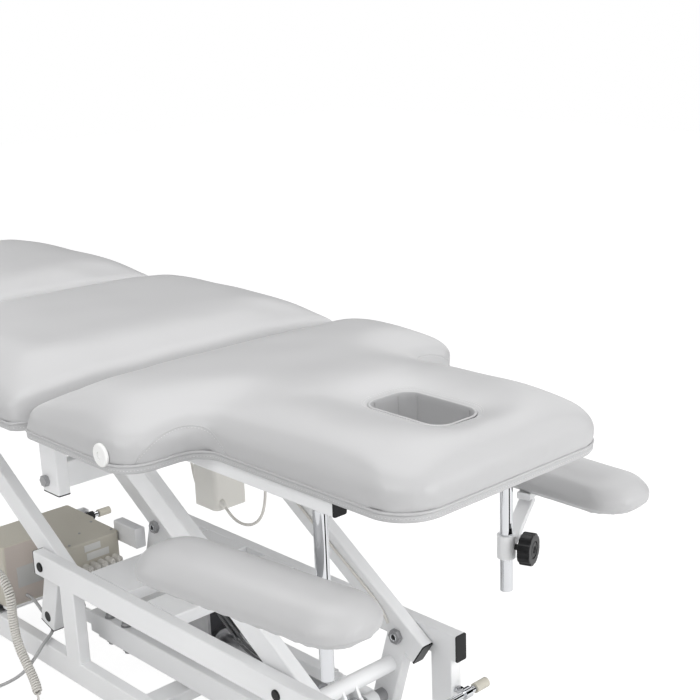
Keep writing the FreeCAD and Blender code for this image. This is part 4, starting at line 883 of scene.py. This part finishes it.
def turned(name, profile, base, axis, mat, body, sides=28):
    # profile of (radius, height) turned about an axis through base; both ends close on the axis
    a = Vector(axis).normalized()
    u = a.orthogonal().normalized()
    v = a.cross(u)
    ang = np.linspace(0, 2 * np.pi, sides, endpoint=False)
    ring = np.cos(ang)[:, None] * np.array(u) + np.sin(ang)[:, None] * np.array(v)
    verts = [np.array(base) + ring * r + np.array(a) * h for r, h in np.array(profile) * mm]
    faces = gridFaces(len(profile), sides).tolist()
    faces += [list(range(sides))[::-1], list(range((len(profile) - 1) * sides, len(profile) * sides))]
    obj = linkMesh(name, np.concatenate(verts), faces)
    obj.data.shade_smooth()
    return finish(obj, mat, body)


def cable(name, points, radius, mat, body):
    # round wire along a smoothed line of points in millimetres
    wire = sweep(smoothPath(np.array(points) * mm, 0.003), radius * mm, name)
    return finish(wire, mat, body)


# control cabinet and its socket unit
block("cabinetPanel", (-308.6, -139, 96), (-307.2, 76, 229), 0.6, "panel", "base")
block("cabinetPlate", (-307.6, -117, 130), (-306.6, -57, 177), 0.4, "plate", "base")
block("cabinetFlange", (-330, -146, 86), (-306, 79, 92.5), 1.0, "paint", "base")
block("unitPlateTop", (-200.4, -14, 210), (-199.2, 25, 225), 0.4, "sticker", "base")
block("unitPlate", (-200.4, -10, 190), (-199.2, 44, 206), 0.4, "sticker", "base")
screwHead = [(0.5, 0), (3.2, 0), (3.2, 0.8), (2.4, 1.5), (1.2, 1.5), (1.1, 0.7), (0.2, 0.7)]
for k, (x, y) in enumerate(((-253, 8), (-220, 66), (-210, -42), (-290, 60))):
    turned("lidScrew%d" % k, screwHead, (x * mm, y * mm, 0.2318), (0, 0, 1), "zinc", "base", sides=14)
for k in range(5):
    y = -16 + 18 * k
    turned("socketRing%d" % k, [(0.5, 0), (6.2, 0), (6.2, 3), (5.2, 4), (0.5, 4)], (-0.180, y * mm, 0.177),
           (1, 0, 0), "paleCable", "base", sides=20)
    if k != 1:  # the second socket stays free
        end, low = -250 - 6 * k, min(y, 46)
        way = [(-178, y, 177), (-170, y, 176), (-164, (y + low) / 2, 168), (-164, low, 156),
               (-176, low, 150), (-205, low, 152), (end, low, 154), (-307, low, 156)]
        cable("unitCable%d" % k, way, 2.6, "paleCable", "base")
print("control box dressed")

# cups and black centres of the arm bolts
boltCup = [(0.5, -1.2), (7.2, -1.2), (7.8, 0.4), (7.2, 1.6), (6.2, 1.6), (5.8, 0.6), (0.5, 0.4)]
boltHeart = [(0.5, 0.2), (4.8, 0.2), (4.6, 1.2), (0.5, 1.6)]
bolts = np.array([v.co[:] for v in nodes["pivot_bolts"].data.vertices])
for k, x in enumerate((-0.116, 0.6185)):
    for side in (-1, 1):
        near = bolts[(np.abs(bolts[:, 0] - x) < 0.03) & (bolts[:, 1] * side > 0)]
        place, away, tag = (x, side * np.abs(near[:, 1]).min(), 0.254), (0, -side, 0), "%d%d" % (k, side > 0)
        turned("boltCup" + tag, boltCup, place, away, "chrome", "base", sides=20)
        turned("boltHeart" + tag, boltHeart, place, away, "black", "base", sides=20)

# wiring of the head drive and of the lift drive
loop = [(314, -22, 464), (322, -22, 458), (332, -22, 450), (348, -22, 441), (370, -20, 437), (394, -18, 443),
        (412, -14, 458), (420, -10, 482), (418, -4, 512), (413, 0, 560), (411, 0, 612), (410, 0, 664)]
wire = sweep(smoothPath(np.array(loop) * mm, 0.003), 0.0027, "motorCable")
wire.data.materials.append(mats["paleCable"])
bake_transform(wire)
turned("motorGland", [(0.5, -1), (5.6, -1), (5.6, 4), (4.4, 8), (3.4, 14), (0.5, 14)],
       (0.3105, -0.022, 0.4655), (0.86, 0, -0.51), "pale", "head_drive", sides=20)
cable("motorTail", [(246, 12, 456), (240, 13, 449), (228, 14, 442), (204, 16, 437), (184, 18, 444),
                    (174, 18, 468), (176, 14, 492), (180, 8, 514)], 2.4, "paleCable", "head_drive")
for k in range(3):
    y = -30 - 6 * k
    way = [(304, y, 256 - 4 * k), (322, y, 246 - 5 * k), (350, y + 2, 226 - 6 * k),
           (380, y - 2, 212 - 4 * k), (412, y, 202 - 3 * k), (440, y + 3, 196 - 2 * k)]
    cable("frameWire%d" % k, way, 2.2 + 0.5 * (k == 1), "darkCable", "base")
cable("armCable", [(300, 109.5, 480), (431, 109.5, 394), (520, 109.5, 338), (562, 109.5, 312), (588, 109, 290),
                   (598, 110, 272)], 2.6, "paleCable", "front_crank")

# bolts on the cross plates
hexHead = [(0.5, 0), (9.0, 0), (9.0, 1.4), (6.6, 1.6), (6.6, 6.0), (5.8, 6.8), (0.5, 6.8)]
for k, (x, y) in enumerate(((241, -71), (290, -71), (241, 71), (290, 71))):
    turned("plateBolt%d" % k, hexHead, (x * mm, y * mm, 0.2820), (0, 0, 1), "zinc", "base", sides=6)

# faces of the star knobs, out from the axis of each post
knobLook = dict(post=(0.795, 0.203, 0.449), out=0.046, turn=dict(near=180.0, far=20.0),
                face=[(0.5, -1), (15.4, -1), (15.4, 2.2), (13.6, 3.6), (7.4, 4.0), (6.2, 3.4), (5.6, 2.2),
                      (0.5, 2.0)])
for name, side in (("near", -1), ("far", 1)):
    a = math.radians(knobLook["turn"][name] * side)
    away = Vector((math.cos(a), math.sin(a), 0))
    x, y, z = knobLook["post"]
    middle = Vector((x, side * y, z)) + away * knobLook["out"]
    turned(name + "KnobFace", knobLook["face"], middle, away, "black", name + "_knob")
print("small pieces made")

# floor and light


floorLook = dict(half=9, z=-0.0005, tone=0.9, rough=0.9, glow=1.15, cut=0.8)


def stageFloor(look):
    # pale floor; the camera sees a share of it as plain white, and the rest keeps the shadow
    half, z = look["half"], look["z"]
    verts = [(-half, -half, z), (half, -half, z), (half, half, z), (-half, half, z)]
    floor = linkMesh("floor", verts, [(0, 1, 2, 3)], smooth=False)
    mat, tree, bsdf = newMaterial("paleFloor")
    bsdf.inputs["Base Color"].default_value = (look["tone"], look["tone"], look["tone"], 1)
    bsdf.inputs["Roughness"].default_value = look["rough"]
    bsdf.inputs["Specular IOR Level"].default_value = 0.1
    path = node(tree, "LightPath")
    glow = node(tree, "Emission")
    glow.inputs["Color"].default_value = (1, 1, 1, 1)
    glow.inputs["Strength"].default_value = look["glow"]
    both = node(tree, "MixShader")
    cut = node(tree, "Math", operation="MULTIPLY")
    cut.inputs[1].default_value = look["cut"]
    out = tree.nodes["Material Output"]
    link = tree.links.new
    link(path.outputs["Is Camera Ray"], cut.inputs[0])
    link(cut.outputs[0], both.inputs[0])
    link(bsdf.outputs[0], both.inputs[1])
    link(glow.outputs[0], both.inputs[2])
    link(both.outputs[0], out.inputs["Surface"])
    floor.data.materials.append(mat)


def darkCard(name, corners):
    # black board that only mirrors see, for the dark stripe in the chrome
    card = linkMesh(name, corners, [(0, 1, 2, 3)], smooth=False)
    mat, _, bsdf = newMaterial(name)
    bsdf.inputs["Base Color"].default_value = (0.01, 0.01, 0.01, 1)
    bsdf.inputs["Roughness"].default_value = 1.0
    bsdf.inputs["Specular IOR Level"].default_value = 0.0
    card.data.materials.append(mat)
    card.visible_camera = False
    card.visible_diffuse = False
    card.visible_shadow = False


def areaLight(name, place, aim, size, power):
    # square lamp that looks at a point
    data = bpy.data.lights.new(name, "AREA")
    data.energy = power
    data.size = size
    light = bpy.data.objects.new(name, data)
    light.location = place
    light.rotation_euler = (Vector(aim) - Vector(place)).to_track_quat("-Z", "Y").to_euler()
    scene.collection.objects.link(light)


# bands: full waves round the room, the sine's values where they turn dark and bright, and the strength
worldLook = dict(strength=0.55, waves=7.0, dark=-0.30, bright=0.15, top=1.2)


def makeWorld(look):
    # even light on the object, plain white to the camera, bands of dark and light to mirrors
    world = bpy.data.worlds.new("studio")
    scene.world = world
    world.use_nodes = True
    tree = world.node_tree
    back = tree.nodes["Background"]
    back.inputs["Color"].default_value = (1, 1, 1, 1)
    back.inputs["Strength"].default_value = look["strength"]
    seen = node(tree, "Background")
    seen.inputs["Color"].default_value = (1, 1, 1, 1)
    # the bands are a sine of the direction's angle round the room, cut to a soft step
    mirror = node(tree, "Background")
    place = node(tree, "TexCoord")
    parts = node(tree, "SeparateXYZ")
    turn = node(tree, "Math", operation="ARCTAN2")
    wave = node(tree, "Math", operation="MULTIPLY")
    wave.inputs[1].default_value = look["waves"]
    sine = node(tree, "Math", operation="SINE")
    band = node(tree, "MapRange", interpolation_type="SMOOTHSTEP")
    band.inputs["From Min"].default_value = look["dark"]
    band.inputs["From Max"].default_value = look["bright"]
    band.inputs["To Max"].default_value = look["top"]
    path = node(tree, "LightPath")
    both = node(tree, "MixShader")
    shiny = node(tree, "MixShader")
    link = tree.links.new
    link(place.outputs["Generated"], parts.inputs[0])
    link(parts.outputs["Y"], turn.inputs[0])
    link(parts.outputs["X"], turn.inputs[1])
    link(turn.outputs[0], wave.inputs[0])
    link(wave.outputs[0], sine.inputs[0])
    link(sine.outputs[0], band.inputs["Value"])
    link(band.outputs[0], mirror.inputs["Strength"])
    link(path.outputs["Is Glossy Ray"], shiny.inputs[0])
    link(back.outputs[0], shiny.inputs[1])
    link(mirror.outputs[0], shiny.inputs[2])
    link(path.outputs["Is Camera Ray"], both.inputs[0])
    link(shiny.outputs[0], both.inputs[1])
    link(seen.outputs[0], both.inputs[2])
    link(both.outputs[0], tree.nodes["World Output"].inputs["Surface"])


stageFloor(floorLook)
darkCard("cardLeft", [(-0.5, -0.95, 0), (0.25, -0.95, 0), (0.25, -0.95, 0.75), (-0.5, -0.95, 0.75)])
darkCard("cardRight", [(1.75, 0.10, 0), (1.75, 0.50, 0), (1.75, 0.50, 0.75), (1.75, 0.10, 0.75)])
makeWorld(worldLook)
areaLight("key", place=(1.2, -2.6, 3.2), aim=(0.3, 0, 0.6), size=2.6, power=60)
areaLight("fill", place=(3.6, 1.0, 1.6), aim=(0.6, 0.1, 0.5), size=2.2, power=58)
areaLight("top", place=(-0.4, 0.8, 3.4), aim=(0.2, 0, 0.6), size=2.5, power=45)
print("floor and light made")
